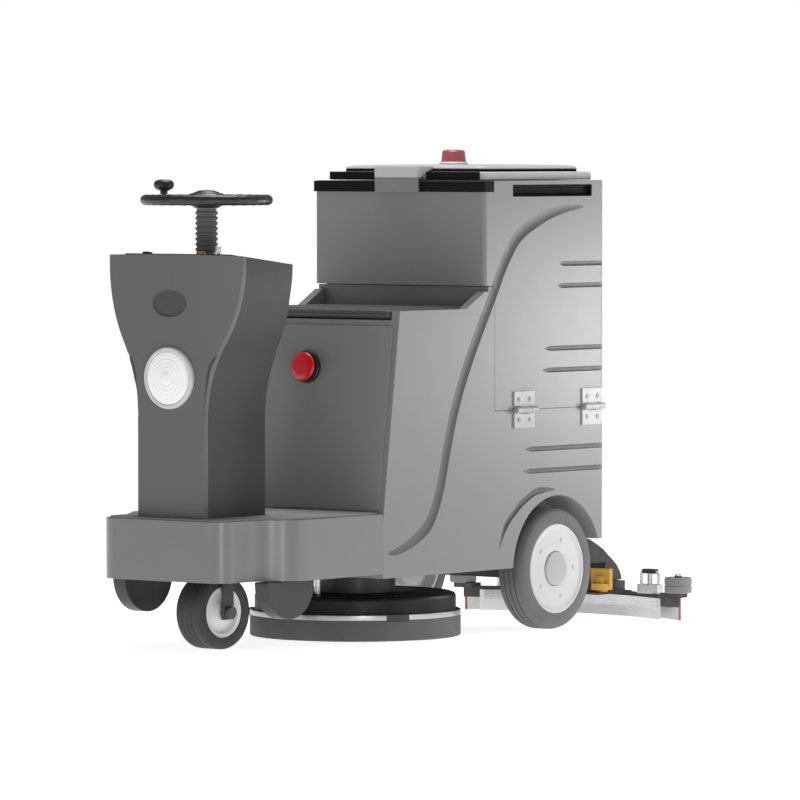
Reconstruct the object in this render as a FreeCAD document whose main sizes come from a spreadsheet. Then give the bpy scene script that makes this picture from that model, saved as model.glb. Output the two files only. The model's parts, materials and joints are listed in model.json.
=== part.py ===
"""Ride-on floor scrubber. Millimetres, +Z up, the machine faces -Y, the operator's left is +X.

The origin is on the floor under the middle of the whole machine.
"""
import FreeCAD, Part
import math
import os
import re

import Sketcher

V = FreeCAD.Vector
UP = V(0, 0, 1)

DIMENSIONS = {
    # whole machine
    "front_y": -880, "side_x": 269, "wall_t": 6, "body_t": 8, "gap_y": 0.5,
    # front deck
    "deck_low": 174, "deck_top": 320, "deck_nose": 195, "nose_r": 55, "flare_y": -792, "flare_end": -642,
    "deck_rear": -355.5, "mat_t": 4, "mat_inset": 10,
    # console
    "console_front": -841, "console_rear": -603, "console_head": -625, "panel_d": 16,
    "console_top": 955, "console_drop": 25, "head_half": 207, "stem_half": 103, "bow_r": 893,
    "curve_top": 930, "curve_low": 560, "console_t": 5,
    "lamp_z": 659, "lamp_r": 64, "bezel_r": 75, "lamp_seat": -837,
    # steering and front wheel
    "steer_y": -700, "steer_rest": -5, "wheel_trail": 20, "stem_r": 30, "column_r": 25, "wheel_z": 1084,
    "rim_r": 147, "grip_r": 13, "front_r": 90, "front_w": 80, "front_hub_r": 62, "axle_r": 10,
    "knob_x": -146.3, "knob_dy": 14.4, "skid_y": -677, "skid_z": 171, "skid_x": 202, "skid_w": 40,
    # frame
    "rail_x": 115, "rail_w": 30, "rail_low": 180, "rail_h": 40,
    # lower body and seat
    "body_low": 163, "seat_top": 812, "seat_front": -288, "seat_foot": -355, "seat_foot_z": 299,
    "riser_y": 68, "riser_top": 866, "seam_y": 94, "seam_z": 557, "tank_front": 53, "tank_rear": 564,
    "pad_half": 244, "pad_low": 790, "pad_top": 818, "corner_r": 30, "edge_r": 10,
    "wing_foot": -22, "wing_top": 53, "wing_z": 854, "tail_low": 220.5, "neck_y": -87,
    # recovery tank and lid
    "tank_low": 868, "tank_top": 1128, "rim_w": 30, "band_low": 1100, "lid_inset": 22,
    "lid_low": 1129, "lid_mid": 1150, "lid_top": 1168, "dome_half": 220, "dome_front": 105,
    "dome_rear": 512, "lid_pin_y": 550, "lid_pin_z": 1136, "slot_low": 1088, "slot_top": 1118,
    "slot_front": 168, "slot_rear": 499, "slot_deep": 14, "beacon_y": 276, "top_z": 1205,
    # side hinges
    "pin_x": 278, "hinge_a": 212, "hinge_b": 497, "leaf_half": 42, "knuckle_r": 8, "leaf_t": 4,
    # rear wheels
    "rear_wheel_y": 355, "rear_r": 152.5, "rear_w": 80, "rim_face_r": 113, "stub_r": 15, "well_r": 185,
    "well_x": 165, "beam_half": 165,
    # brush unit
    "brush_y": -124, "skirt_r": 262, "drum_r": 250, "drum_low": 64, "drum_top": 110, "rod_dy": -150,
    "rod_r": 8, "barrel_r": 20, "motor_r": 100,
    # squeegee
    "pivot_y": 558, "pivot_z": 200, "swivel_y": 836, "neck_r": 28, "arc_mid": 874, "arc_half": 346,
    "arc_deep": 99, "channel_w": 33, "hood_half": 92, "hose_r": 23, "inlet_z": 262, "inlet_end": 588,
    "hose_z": 178, "hose_y": 700, "roller_x": 346, "roller_y": 768, "roller_r": 35,
    "clamp_x": 126, "clamp_y": 738, "clamp_r": 32,
    # fits
    "run_fit": 0.05,
}

doc = FreeCAD.newDocument("ride_on_scrubber")
sheet = doc.addObject("Spreadsheet::Sheet", "Dim")
for row, (alias, value) in enumerate(DIMENSIONS.items(), start=1):
    sheet.set(f"A{row}", alias)
    sheet.set(f"B{row}", str(value))
    sheet.setAlias(f"B{row}", alias)
doc.recompute()

finished = []


# ---------------------------------------------------------------- helpers

def size(alias):
    """The number in a sheet cell."""
    return float(sheet.get(alias))


def expression(text):
    """A dimension expression: every alias has an underscore, and gets the sheet's name."""
    return re.sub(r"[a-z]+(?:_[a-z0-9]+)+", r"Dim.\g<0>", str(text))


def bind(obj, prop, value):
    obj.setExpression(prop, expression(value))


def keep(obj, label):
    """Mark a finished sub-part: its label is its node's name."""
    obj.Label = label
    finished.append(obj)
    return obj


def box(name, x, y, z):
    """A block between two values on each axis, each a number or a dimension expression."""
    block = doc.addObject("Part::Box", name)
    for (low, high), length, base in zip((x, y, z), ("Length", "Width", "Height"), "xyz"):
        bind(block, length, f"({high}) - ({low})")
        bind(block, f"Placement.Base.{base}", low)
    return block


def cylinder(name, radius, start, length, axis="z"):
    """A cylinder from the centre of its first face, along +x, +y or +z."""
    part = doc.addObject("Part::Cylinder", name)
    turn = {"x": (V(0, 1, 0), 90), "y": (V(1, 0, 0), -90), "z": (UP, 0)}[axis]
    part.Placement = FreeCAD.Placement(V(), FreeCAD.Rotation(*turn))
    bind(part, "Radius", radius)
    bind(part, "Height", length)
    for base, value in zip("xyz", start):
        bind(part, f"Placement.Base.{base}", value)
    return part


def fuse(name, *parts):
    joined = doc.addObject("Part::MultiFuse", name)
    joined.Shapes = list(parts)
    return joined


def group(name, *parts):
    """Separate solids that share one node."""
    together = doc.addObject("Part::Compound", name)
    together.Links = list(parts)
    return together


def cut(name, base, *tools):
    result = doc.addObject("Part::Cut", name)
    result.Base = base
    result.Tool = tools[0] if len(tools) == 1 else fuse(name + "_tools", *tools)
    return result


def fillet(name, base, radius, picks):
    """Round the edges of a finished shape for which picks(edge) is true."""
    doc.recompute()
    result = doc.addObject("Part::Fillet", name)
    result.Base = base
    result.Edges = [(i, radius, radius) for i, edge in enumerate(base.Shape.Edges, start=1) if picks(edge)]
    return result


def upright(edge):
    """A straight vertical edge."""
    first, last = edge.Vertexes[0].Point, edge.Vertexes[-1].Point
    return abs(first.x - last.x) < 0.01 and abs(first.y - last.y) < 0.01 and abs(first.z - last.z) > 1


def sketch(body, name, plane):
    made = body.newObject("Sketcher::SketchObject", name)
    origin = next(f for f in body.Origin.OriginFeatures if f.Role == plane)
    made.AttachmentSupport = [(origin, "")]
    made.MapMode = "FlatFace"
    return made


def pin_point(made, geometry, end, x, y):
    """Tie one sketch point to the sketch's origin by two bound distances."""
    for kind, value in (("DistanceX", x), ("DistanceY", y)):
        index = made.addConstraint(Sketcher.Constraint(kind, -1, 1, geometry, end, 1.0))
        made.setExpression(f"Constraints[{index}]", expression(value))


def polygon(made, points):
    """A closed outline whose corners are bound to the sheet."""
    numbers = [V(*(float(sheet.evalExpression(expression(v))) for v in point), 0) for point in points]
    count = len(points)
    for i in range(count):
        made.addGeometry(Part.LineSegment(numbers[i], numbers[(i + 1) % count]), False)
    for i in range(count):
        made.addConstraint(Sketcher.Constraint("Coincident", i, 2, (i + 1) % count, 1))
    for i, (x, y) in enumerate(points):
        pin_point(made, i, 1, x, y)


def turned(name, profile, centre=(0, 0, 0), axis="z", spin=0):
    """A body turned about its own upright axis from a (radius, height) outline, then laid along x or z."""
    body = doc.addObject("PartDesign::Body", name)
    outline = sketch(body, name + "_outline", "XZ_Plane")
    polygon(outline, profile)
    turn = body.newObject("PartDesign::Revolution", name + "_turn")
    turn.Profile = outline
    turn.ReferenceAxis = (outline, ["V_Axis"])
    turn.Angle = 360
    lay = FreeCAD.Rotation(V(0, 1, 0), 90) if axis == "x" else FreeCAD.Rotation()
    body.Placement = FreeCAD.Placement(V(), FreeCAD.Rotation(UP, spin).multiply(lay))
    for base, value in zip("xyz", centre):
        bind(body, f"Placement.Base.{base}", value)
    return body


def profiled(name, plane, outline, thick):
    """A body padded evenly both ways from one outline."""
    body = doc.addObject("PartDesign::Body", name)
    made = sketch(body, name + "_outline", plane)
    polygon(made, outline)
    pad = body.newObject("PartDesign::Pad", name + "_pad")
    pad.Profile = made
    pad.Midplane = True
    bind(pad, "Length", thick)
    return body


def feature(name, shape, place=None):
    part = doc.addObject("Part::Feature", name)
    part.Shape = shape
    part.Placement = place or shape.Placement
    return part


def arc(centre, radius, start, end):
    """An arc in the plan, angles in degrees from +X."""
    points = [V(centre[0] + radius * math.cos(math.radians(a)),
                centre[1] + radius * math.sin(math.radians(a)), 0)
              for a in (start, (start + end) / 2, end)]
    return Part.Arc(*points)


def s_curve(start, end):
    """Two equal tangent arcs between two points, level with +Y at both ends."""
    dx, dy = end[0] - start[0], end[1] - start[1]
    radius = (dx * dx + dy * dy) / (4 * abs(dx))
    half = math.degrees(math.asin(dy / 2 / radius))
    side = 1 if dx > 0 else -1
    turn = 180 if side > 0 else 0
    first = arc((start[0] + side * radius, start[1]), radius, turn, turn - side * half)
    second = arc((end[0] - side * radius, end[1]), radius, 180 - turn - side * half, 180 - turn)
    return [first, second]


def mirrored_outline(curves, axis_x=0):
    """Close a half outline that starts and ends on the mid-line with its mirror image."""
    edges = [curve.toShape() for curve in curves]
    mirror = [edge.mirror(V(axis_x, 0, 0), V(1, 0, 0)) for edge in edges]
    return Part.Wire(Part.__sortEdges__(edges + mirror))


def prism(wire, low, high):
    face = Part.Face(wire)
    face.translate(V(0, 0, low - face.BoundBox.ZMin))
    return face.extrude(V(0, 0, high - low))


# ---------------------------------------------------------------- frame and wheels

def main_frame():
    """Welded rails, head tube, cross members, outriggers for the skids and ears for the squeegee arm."""
    rail_z = ("rail_low", "rail_low + rail_h")
    parts = []
    for side, sign in (("left", ""), ("right", "-")):
        inner, outer = f"{sign}rail_x", f"{sign}(rail_x + rail_w)"
        span = (inner, outer) if not sign else (outer, inner)
        parts.append(box(f"rail_{side}", span, (-767, 523), rail_z))
        reach = (inner, f"{sign}222") if not sign else (f"{sign}222", inner)
        parts.append(box(f"outrigger_{side}", reach, ("skid_y - 35", "skid_y + 35"),
                         ("rail_low - 6", "rail_low")))
        for count, post_y in enumerate((-577, -397)):
            parts.append(box(f"post_{side}_{count}", span, (post_y, post_y + 30),
                             ("rail_low + rail_h", "deck_top - wall_t")))
        ear = ("46", "54") if not sign else ("-54", "-46")
        parts.append(box(f"ear_{side}", ear, (521, 576), ("rail_low + 2", "rail_low + rail_h")))
    across = ("-rail_x", "rail_x")
    parts.append(box("head_plate", across, (-768, -628), (200, 210)))
    parts.append(box("lift_member", across, (-304, -244), rail_z))
    parts.append(box("mid_member", across, (93, 123), rail_z))
    parts.append(box("tail_member", across, (493, 523), rail_z))
    parts.append(cylinder("head_tube", 40, (0, "steer_y", 205), 125))
    solid = fuse("frame_solid", *parts)
    bore = cylinder("head_bore", "stem_r + run_fit", (0, "steer_y", 150), 250)
    lift_hole = cylinder("lift_hole", "barrel_r + 0.5", (0, "brush_y + rod_dy", 150), 100)
    ear_hole = cylinder("ear_hole", "rod_r + run_fit", (-60, "pivot_y", "pivot_z"), 120, "x")
    return keep(cut("frame", solid, bore, lift_hole, ear_hole), "main_frame")


def rear_axle():
    beam = box("axle_beam", ("-beam_half", "beam_half"), ("rear_wheel_y - 27.5", "rear_wheel_y + 27.5"),
               ("rail_low - 55", "rail_low"))
    stubs = cylinder("axle_stubs", "stub_r", (-255, "rear_wheel_y", "rear_r"), 510, "x")
    return keep(fuse("axle", beam, stubs), "rear_axle")


def tyre(label, radius, inner, width, centre, spin=0):
    """A tyre with rounded shoulders, turned about its axle."""
    half = f"({width}) / 2"
    profile = [(inner, f"-{half}"), (f"{radius} - 12", f"-{half}"), (f"{radius} - 3.5", f"-{half} + 5"),
               (radius, f"-{half} + 15"), (radius, f"{half} - 15"), (f"{radius} - 3.5", f"{half} - 5"),
               (f"{radius} - 12", half), (inner, half)]
    return keep(turned(label + "_body", profile, centre, "x", spin), label)


def rear_rim(label, sign):
    """A dished disc with a centre boss outside and a blind bore for the stub axle inside."""
    face = "rear_w / 2"
    profile = [("stub_r + run_fit", f"-{face}"), (60, f"-{face}"), (60, 10), ("rim_face_r - 8", 10),
               ("rim_face_r - 8", f"-{face}"), ("rim_face_r - 0.05", f"-{face}"),
               ("rim_face_r - 0.05", f"{face} - 2"), (100, f"{face} - 2"), (92, f"{face} - 8"),
               (48, f"{face} - 8"), (42, face), (0, face), (0, f"{face} - 12"),
               ("stub_r + run_fit", f"{face} - 12")]
    middle = f"{sign} * (side_x - rear_w / 2)"
    spin = 0 if sign > 0 else 180
    return keep(turned(label + "_body", profile, (middle, "rear_wheel_y", "rear_r"), "x", spin), label)


def rear_wheels():
    for side, sign in (("left", 1), ("right", -1)):
        centre = (f"{sign} * (side_x - rear_w / 2)", "rear_wheel_y", "rear_r")
        tyre(f"rear_tyre_{side}", "rear_r", "rim_face_r", "rear_w", centre)
        rear_rim(f"rear_rim_{side}", sign)


def front_centre():
    """Middle of the front wheel: it trails behind the steering axis."""
    behind = FreeCAD.Rotation(UP, size("steer_rest")).multVec(V(0, size("wheel_trail"), 0))
    return (behind.x, size("steer_y") + behind.y, size("front_r"))


def front_wheel():
    """Small steered wheel, drawn at its rest angle."""
    spin = size("steer_rest")
    centre = front_centre()
    tyre("front_tyre", "front_r", "front_hub_r", "front_w", centre, spin)
    profile = [("axle_r + run_fit", -36), (22, -36), (26, -24), (48, -22), (52, -34),
               ("front_hub_r - 0.05", -36),
               ("front_hub_r - 0.05", 36), (52, 34), (48, 22), (26, 24), (22, 36), ("axle_r + run_fit", 36)]
    hub = turned("front_hub_solid", profile, centre, "x", spin)
    pockets = [turned(f"hub_pocket_{i}", [(0, -40), (8, -40), (8, 40), (0, 40)]) for i in range(5)]
    turn = FreeCAD.Rotation(UP, spin)
    for i, pocket in enumerate(pockets):
        angle = math.radians(72 * i + 18)
        offset = turn.multVec(V(0, 37 * math.cos(angle), 37 * math.sin(angle)))
        pocket.Placement = FreeCAD.Placement(
            V(*centre) + offset,
            turn.multiply(FreeCAD.Rotation(V(0, 1, 0), 90)))
    keep(cut("front_hub", hub, *pockets), "front_wheel_hub")


# ---------------------------------------------------------------- steering

def front_fork():
    """Crown and two legs over the front wheel, turned to the rest angle, with the stem in the head tube."""
    crown = box("fork_crown", (-54, 54), (-34, "wheel_trail + 17"), (184, 198))
    legs = [box(f"fork_leg_{i}", (x, x + 9), ("wheel_trail - 17", "wheel_trail + 17"), ("front_r - 17", 190))
            for i, x in enumerate((-54, 45))]
    holes = cylinder("fork_holes", "axle_r", (-60, "wheel_trail", "front_r"), 120, "x")
    shape = cut("fork_shape", fuse("fork_solid", crown, *legs), holes)
    doc.recompute()
    place = FreeCAD.Placement(V(0, size("steer_y"), 0), FreeCAD.Rotation(UP, size("steer_rest")))
    turned_shape = shape.Shape.transformed(place.toMatrix())
    stem = Part.makeCylinder(size("stem_r"), 136, V(0, size("steer_y"), 197))
    return keep(feature("fork", turned_shape.fuse(stem).removeSplitter()), "front_fork")


def front_axle():
    """Axle with a nut at each end, pressed in the fork legs."""
    profile = [(0, -67), (15, -67), (15, -54.05), ("axle_r", -54.05), ("axle_r", 54.05), (15, 54.05),
               (15, 67), (0, 67)]
    return keep(turned("front_axle_body", profile, front_centre(), "x", size("steer_rest")), "front_axle")


def steering_column():
    """Ribbed tube from the fork's stem to the hand wheel's hub."""
    profile = [(0, 333.5), (37, 333.5), (37, 346), ("column_r", 346)]
    for rib in range(6):
        low = 955 + rib * 17
        profile += [("column_r", low), ("column_r + 3", low + 3), ("column_r + 3", low + 8),
                    ("column_r", low + 11)]
    profile += [("column_r", 1064), (0, 1064)]
    return keep(turned("column_body", profile, (0, "steer_y", 0)), "steering_column")


def steering_wheel():
    """Round rim, three spokes and a dished hub."""
    rim = doc.addObject("Part::Torus", "wheel_rim")
    bind(rim, "Radius1", "rim_r")
    bind(rim, "Radius2", "grip_r")
    bind(rim, "Placement.Base.y", "steer_y")
    bind(rim, "Placement.Base.z", "wheel_z")
    hub = turned("wheel_hub", [(0, 1064.05), (30, 1064.05), (58, 1078), (58, 1088), (42, 1098), (24, 1106),
                               (0, 1108)],
                 (0, "steer_y", 0))
    spokes = []
    for i in range(3):
        spoke = doc.addObject("Part::Box", f"wheel_spoke_{i}")
        spoke.Length, spoke.Width, spoke.Height = 95, 26, 8
        turn = FreeCAD.Rotation(UP, 90 + 120 * i)
        corner = turn.multVec(V(48, -13, 0))
        spoke.Placement = FreeCAD.Placement(V(corner.x, size("steer_y") + corner.y, size("wheel_z") - 6),
                                            turn)
        spokes.append(spoke)
    knob_bore = cylinder("knob_bore", "5 + run_fit", ("knob_x", "steer_y + knob_dy", "wheel_z + 1"), 30)
    return keep(cut("wheel", fuse("wheel_solid", rim, hub, *spokes), knob_bore), "steering_wheel")


def spinner_knob():
    """Knob whose pin turns in a hole in the rim."""
    profile = [(0, 1086), (5, 1086), (5, 1097.5), (9, 1097.5), (9, 1106), (20, 1110), (25, 1118), (25, 1127),
               (18, 1133), (0, 1133)]
    return keep(turned("knob_body", profile, ("knob_x", "steer_y + knob_dy", 0)), "spinner_knob")


# ---------------------------------------------------------------- front deck and console

def deck_wire(inset):
    """Plan outline of the deck: round nose corners, then a flare to the full width."""
    nose, nose_r = size("deck_nose") - inset, size("nose_r") - inset
    front, rear, side = size("front_y") + inset, size("deck_rear"), size("side_x") - inset
    flare = size("flare_y")
    curves = [Part.LineSegment(V(0, front, 0), V(nose - nose_r, front, 0)),
              arc((nose - nose_r, front + nose_r), nose_r, -90, 0),
              Part.LineSegment(V(nose, front + nose_r, 0), V(nose, flare, 0))]
    curves += s_curve((nose, flare), (side, size("flare_end")))
    curves += [Part.LineSegment(V(side, size("flare_end"), 0), V(side, rear, 0)),
               Part.LineSegment(V(side, rear, 0), V(0, rear, 0))]
    return mirrored_outline(curves)


def front_deck_shell():
    """Open-bottomed skirt with the foot plate on top and the pedal's ears moulded on."""
    low, top, wall = size("deck_low"), size("deck_top"), size("wall_t")
    shell = prism(deck_wire(0), low, top)
    inside = prism(deck_wire(wall), low - 1, top - wall)
    behind = Part.makeBox(2 * size("side_x"), wall + 2, top - wall - low + 1,
                          V(-size("side_x") + wall, size("deck_rear") - wall - 1, low - 1))
    behind = behind.common(Part.makeBox(2 * (size("side_x") - wall), 400, 400,
                                        V(wall - size("side_x"), size("deck_rear") - 200, 0)))
    bore = Part.makeCylinder(42, 50, V(0, size("steer_y"), top - 25))
    ears = [Part.makeBox(7, 26, 39, V(PEDAL_X + x, PEDAL_Y - 13, top - 2)) for x in (-49, 42)]
    pivot = Part.makeCylinder(4 + size("run_fit"), 120, V(PEDAL_X - 60, PEDAL_Y, PEDAL_Z), V(1, 0, 0))
    shape = shell.cut(inside).cut(behind).cut(bore).fuse(ears).cut(pivot)
    return keep(feature("deck", shape.removeSplitter()), "front_deck_shell")


def deck_mat():
    """Ribbed rubber mat over the foot plate, cut out around the console's foot and the pedal's ears."""
    top = size("deck_top")
    mat = prism(deck_wire(size("mat_inset")), top, top + size("mat_t"))
    foot = Part.makeBox(2 * size("stem_half") + 6, 260, 60,
                        V(-size("stem_half") - 3, size("console_front") - 3, top - 10))
    heel = Part.makeBox(600, 12, 60, V(-300, size("deck_rear") - 10, top - 10))
    ears = Part.makeBox(112, 34, 60, V(PEDAL_X - 56, PEDAL_Y - 17, top - 10))
    return keep(feature("mat", mat.cut(foot).cut(heel).cut(ears)), "deck_mat")


def goblet_wire(inset):
    """Front outline of the console, drawn in plan as (x, height): wide head, narrow stem."""
    head, stem = size("head_half") - inset, size("stem_half") - inset
    low, top = size("deck_top") + (inset and -1), size("console_top") + 40
    curves = [Part.LineSegment(V(0, low, 0), V(stem, low, 0)),
              Part.LineSegment(V(stem, low, 0), V(stem, size("curve_low"), 0))]
    curves += s_curve((stem, size("curve_low")), (head, size("curve_top")))
    curves += [Part.LineSegment(V(head, size("curve_top"), 0), V(head, top, 0)),
               Part.LineSegment(V(head, top, 0), V(0, top, 0))]
    return mirrored_outline(curves)


def console_solid(inset):
    """The whole console, inset on every side but the bottom; its front is bowed in plan."""
    front, rear = size("console_front") + inset, size("console_rear") - inset
    body = prism(goblet_wire(inset), 0, rear - front)
    body.rotate(V(), V(1, 0, 0), 90)
    body.translate(V(0, rear, 0))
    head, top, drop = size("console_head") - inset, size("console_top") - inset, size("console_drop")
    low = size("deck_top") - (1 if inset else 0)
    side = Part.makePolygon([V(0, front, low), V(0, rear, low), V(0, rear, 700), V(0, head, 850),
                             V(0, head, top - drop), V(0, front, top), V(0, front, low)])
    slab = Part.Face(side).extrude(V(600, 0, 0))
    slab.translate(V(-300, 0, 0))
    bow = Part.makeCylinder(size("bow_r") - inset, 900, V(0, size("console_front") + size("bow_r"), 200))
    return body.common(slab).common(bow)


def console_shells():
    """Bowed front panel with the lamp's flat seat, and the cover behind it with the column's opening."""
    wall, bow, front = size("console_t"), size("bow_r"), size("console_front")
    shell = console_solid(0).cut(console_solid(wall))
    behind, cover_room = [Part.makeCylinder(radius, 900, V(0, front + bow, 200)) for radius in
                          (bow - size("panel_d"), bow - size("panel_d") - size("gap_y"))]
    lamp = Part.makeCylinder(size("lamp_r") - 8, 60, V(0, front + 40, size("lamp_z")), V(0, -1, 0))
    seat = Part.makeCylinder(size("bezel_r") + 0.3, 20, V(0, size("lamp_seat"), size("lamp_z")), V(0, -1, 0))
    column = Part.makeCylinder(31, 200, V(0, size("steer_y"), 850))
    keep(feature("front_shell", shell.cut(behind).cut(lamp).cut(seat).removeSplitter()),
         "console_front_shell")
    keep(feature("rear_cover", shell.common(cover_room).cut(column).removeSplitter()), "console_rear_cover")


def tilt_on_dash(shape, x, y, lift):
    """Stand a shape, modelled upright at the origin, on the sloping top of the console."""
    slope = math.degrees(math.atan2(size("console_drop"), size("console_head") - size("console_front")))
    drop = math.tan(math.radians(slope)) * (y - size("console_front"))
    place = FreeCAD.Placement(V(x, y, size("console_top") - drop + lift),
                              FreeCAD.Rotation(V(1, 0, 0), -slope))
    return shape.transformed(place.toMatrix())


DASH_Y = -791


def dash_panel():
    """Control plate on the console's top: sockets for the key, the switch and the horn button."""
    plate = Part.makeBox(330, 44, 4, V(-165, -22, 0.05))
    plate = plate.makeFillet(8, [edge for edge in plate.Edges if upright(edge)])
    for x, radius in ((110, 11.05), (-110, 13.5), (60, 9.05)):
        plate = plate.cut(Part.makeCylinder(radius, 20, V(x, 0, -5)))
    return keep(feature("dash", tilt_on_dash(plate, 0, DASH_Y, 0)), "dash_panel")


def dash_controls():
    """Key, rocking direction switch and horn button, each standing in its socket."""
    key = Part.makeCylinder(11, 9, V(0, 0, 0.4)).fuse(Part.makeBox(5, 18, 16, V(-2.5, -9, 9)))
    switch = Part.makeBox(16, 18, 7.4, V(-8, -9, 2.6)).fuse(Part.makeCylinder(1.6, 22, V(-11, 0, 5),
                                                                              V(1, 0, 0)))
    horn = Part.makeCylinder(9, 9, V(0, 0, 3.4))
    for shape, x, name, label in ((key, 110, "key", "ignition_key"),
                                  (switch, -110, "switch", "direction_switch"),
                                  (horn, 60, "horn", "horn_button")):
        keep(feature(name, tilt_on_dash(shape.removeSplitter(), x, DASH_Y, 0)), label)


def headlamp():
    """Bezel ring and domed lens on the front of the console."""
    ring = turned("bezel_body", [("lamp_r - 7.9", 0.05), ("bezel_r", 0.05), ("bezel_r", 8),
                                 ("bezel_r - 4", 12),
                                 ("lamp_r + 0.3", 12), ("lamp_r + 0.3", 5), ("lamp_r - 7.9", 5)])
    lens = turned("lens_body", [(0, 5.1), ("lamp_r", 5.1), ("lamp_r", 11), (50, 14), (28, 17), (0, 18)])
    for part, label in ((ring, "headlamp_bezel"), (lens, "headlamp_lens")):
        part.Placement = FreeCAD.Placement(V(), FreeCAD.Rotation(V(1, 0, 0), 90))
        bind(part, "Placement.Base.y", "lamp_seat")
        bind(part, "Placement.Base.z", "lamp_z")
        keep(part, label)


PEDAL_X, PEDAL_Y, PEDAL_Z = -185, -437, 338


def accelerator_pedal():
    """Treadle hinged at the heel, with its pin."""
    outline = [(PEDAL_Y + y, z) for y, z in ((-6, 330), (8, 330), (8, 344), (0, 348), (-150, 384),
                                             (-158, 376),
                                             (-150, 372))]
    plate = profiled("pedal_plate", "YZ_Plane", outline, 78)
    bind(plate, "Placement.Base.x", PEDAL_X)
    pin = cylinder("pedal_pin", 4, (PEDAL_X - 50, PEDAL_Y, PEDAL_Z), 100, "x")
    return keep(fuse("pedal", plate, pin), "accelerator_pedal")


def anti_tip_skids():
    """Two half-round cheeks bolted under the outriggers."""
    discs = [cylinder(f"skid_disc_{side}", "front_r", (x, "skid_y", "skid_z"), "skid_w", "x")
             for side, x in (("left", "skid_x"), ("right", "-skid_x - skid_w"))]
    above = box("skid_above", (-300, 300), (-900, -500), ("rail_low - 6.5", 300))
    return keep(cut("skids", fuse("skid_discs", *discs), above), "anti_tip_skids")


# ---------------------------------------------------------------- lower body and seat

def rounded_room(name, x, y, z, wall):
    """A hollow whose two rear upright edges follow the shell's rounded rear corners inside its wall."""
    room = box(f"{name}_room", x, y, z)
    doc.recompute()
    rear = room.Shape.BoundBox.YMax
    return fillet(f"{name}_room_round", room, size("corner_r") - size(wall),
                  lambda edge: upright(edge) and edge.Vertexes[0].Y > rear - 1)


def lower_body_shell():
    """One moulding: water tank and seat box in front, open battery bay behind, open underside."""
    outer = profiled("body_outer", "YZ_Plane", [
        ("seat_foot", "body_low"), ("seat_foot", "seat_foot_z"), ("seat_front", "seat_top"),
        ("riser_y", "seat_top"), ("riser_y", "riser_top"), ("seam_y - gap_y", "riser_top"),
        ("seam_y - gap_y", "seam_z - gap_y"), ("tank_rear", "seam_z - gap_y"), ("tank_rear", "body_low")],
        "2 * side_x")
    rounded = fillet("body_round", outer, size("corner_r"),
                     lambda edge: upright(edge) and edge.Vertexes[0].Y > size("tank_rear") - 1)
    wing = profiled("wing_pair", "YZ_Plane", [
        ("wing_foot", "seat_top - 5"), ("wing_foot", "seat_top"), ("wing_top", "wing_z"),
        ("riser_y + 2", "wing_z"), ("riser_y + 2", "seat_top - 5")], "2 * side_x")
    between = box("wing_between", ("-pad_half - 1", "pad_half + 1"), ("wing_foot - 5", "riser_y"),
                  ("seat_top", "riser_top + 5"))
    water = profiled("water_room", "YZ_Plane", [
        ("seat_foot + 16", 348), ("seat_front + 14", 770), ("seam_y - 10", 770), ("seam_y - 10", 348)],
        "2 * (side_x - body_t)")
    bay = rounded_room("bay", ("-side_x + body_t", "side_x - body_t"), ("seam_y + 7.5", "tank_rear - body_t"),
                       (345, 600), "body_t")
    pit = box("bay_pit", (-142, 142), ("seam_y + 15", "tank_rear - 16"), ("tail_low + 8", 350))
    under = box("under_front", ("-side_x + body_t", "side_x - body_t"), ("seat_foot + body_t", "seam_y - 8"),
                (100, 340))
    tail = box("under_rear", ("-side_x + body_t", "side_x - body_t"), (0, "tank_rear + 5"),
               (100, "rail_low + rail_h + 0.5"))
    skirt = box("tail_cut", ("-side_x - 5", "side_x + 5"), (503, "tank_rear + 5"), (100, "tail_low"))
    rails = [box(f"rail_notch_{side}", span, ("seat_foot - 5", "seat_foot + body_t + 5"),
                 (100, "rail_low + rail_h + 0.5"))
             for side, span in (("left", ("rail_x - 0.5", "rail_x + rail_w + 0.5")),
                                ("right", ("-rail_x - rail_w - 0.5", "-rail_x + 0.5")))]
    wells = [cylinder(f"wheel_well_{i}", "well_r", (x, "rear_wheel_y", "rear_r"), 115, "x")
             for i, x in enumerate(("well_x", "-well_x - 115"))]
    pad = box("pad_well", ("-pad_half - 0.5", "pad_half + 0.5"), (-400, "riser_y"),
              ("pad_low - 0.5", "seat_top + 5"))
    neck = cylinder("filler_neck", 40, ("-side_x - 5", "neck_y", 600), 40, "x")
    duct = cylinder("duct_hole", 26, (0, 530, "inlet_z"), 60, "y")
    solid = fuse("body_solid", rounded, cut("wings", wing, between))
    return keep(cut("body_shell", solid, water, bay, pit, under, tail, skirt, *rails, *wells, pad, neck,
                    duct),
                "lower_body_shell")


def seat_front_panel():
    """Cover plate on the sloping front of the seat box, with the hole for the stop button."""
    slope = math.atan2(size("seat_front") - size("seat_foot"), size("seat_top") - size("seat_foot_z"))
    plate = Part.makeBox(2 * size("side_x") - 30, 4, 452, V(15 - size("side_x"), -4.05, 28))
    corners = [edge for edge in plate.Edges if abs(edge.tangentAt(edge.FirstParameter).y) > 0.9]
    plate = plate.makeFillet(12, corners)
    plate = plate.cut(Part.makeCylinder(15 + size("run_fit"), 30, V(0, -15, STOP_ALONG), V(0, 1, 0)))
    collar = Part.makeCylinder(38, 9, V(0, -4, STOP_ALONG), V(0, -1, 0))
    collar = collar.cut(Part.makeCylinder(15 + size("run_fit"), 40, V(0, 10, STOP_ALONG), V(0, -1, 0)))
    place = FreeCAD.Placement(V(0, size("seat_foot"), size("seat_foot_z")),
                              FreeCAD.Rotation(V(1, 0, 0), -math.degrees(slope)))
    return keep(feature("front_panel", plate.fuse(collar).transformed(place.toMatrix())), "seat_front_panel")


STOP_ALONG = 375


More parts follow.
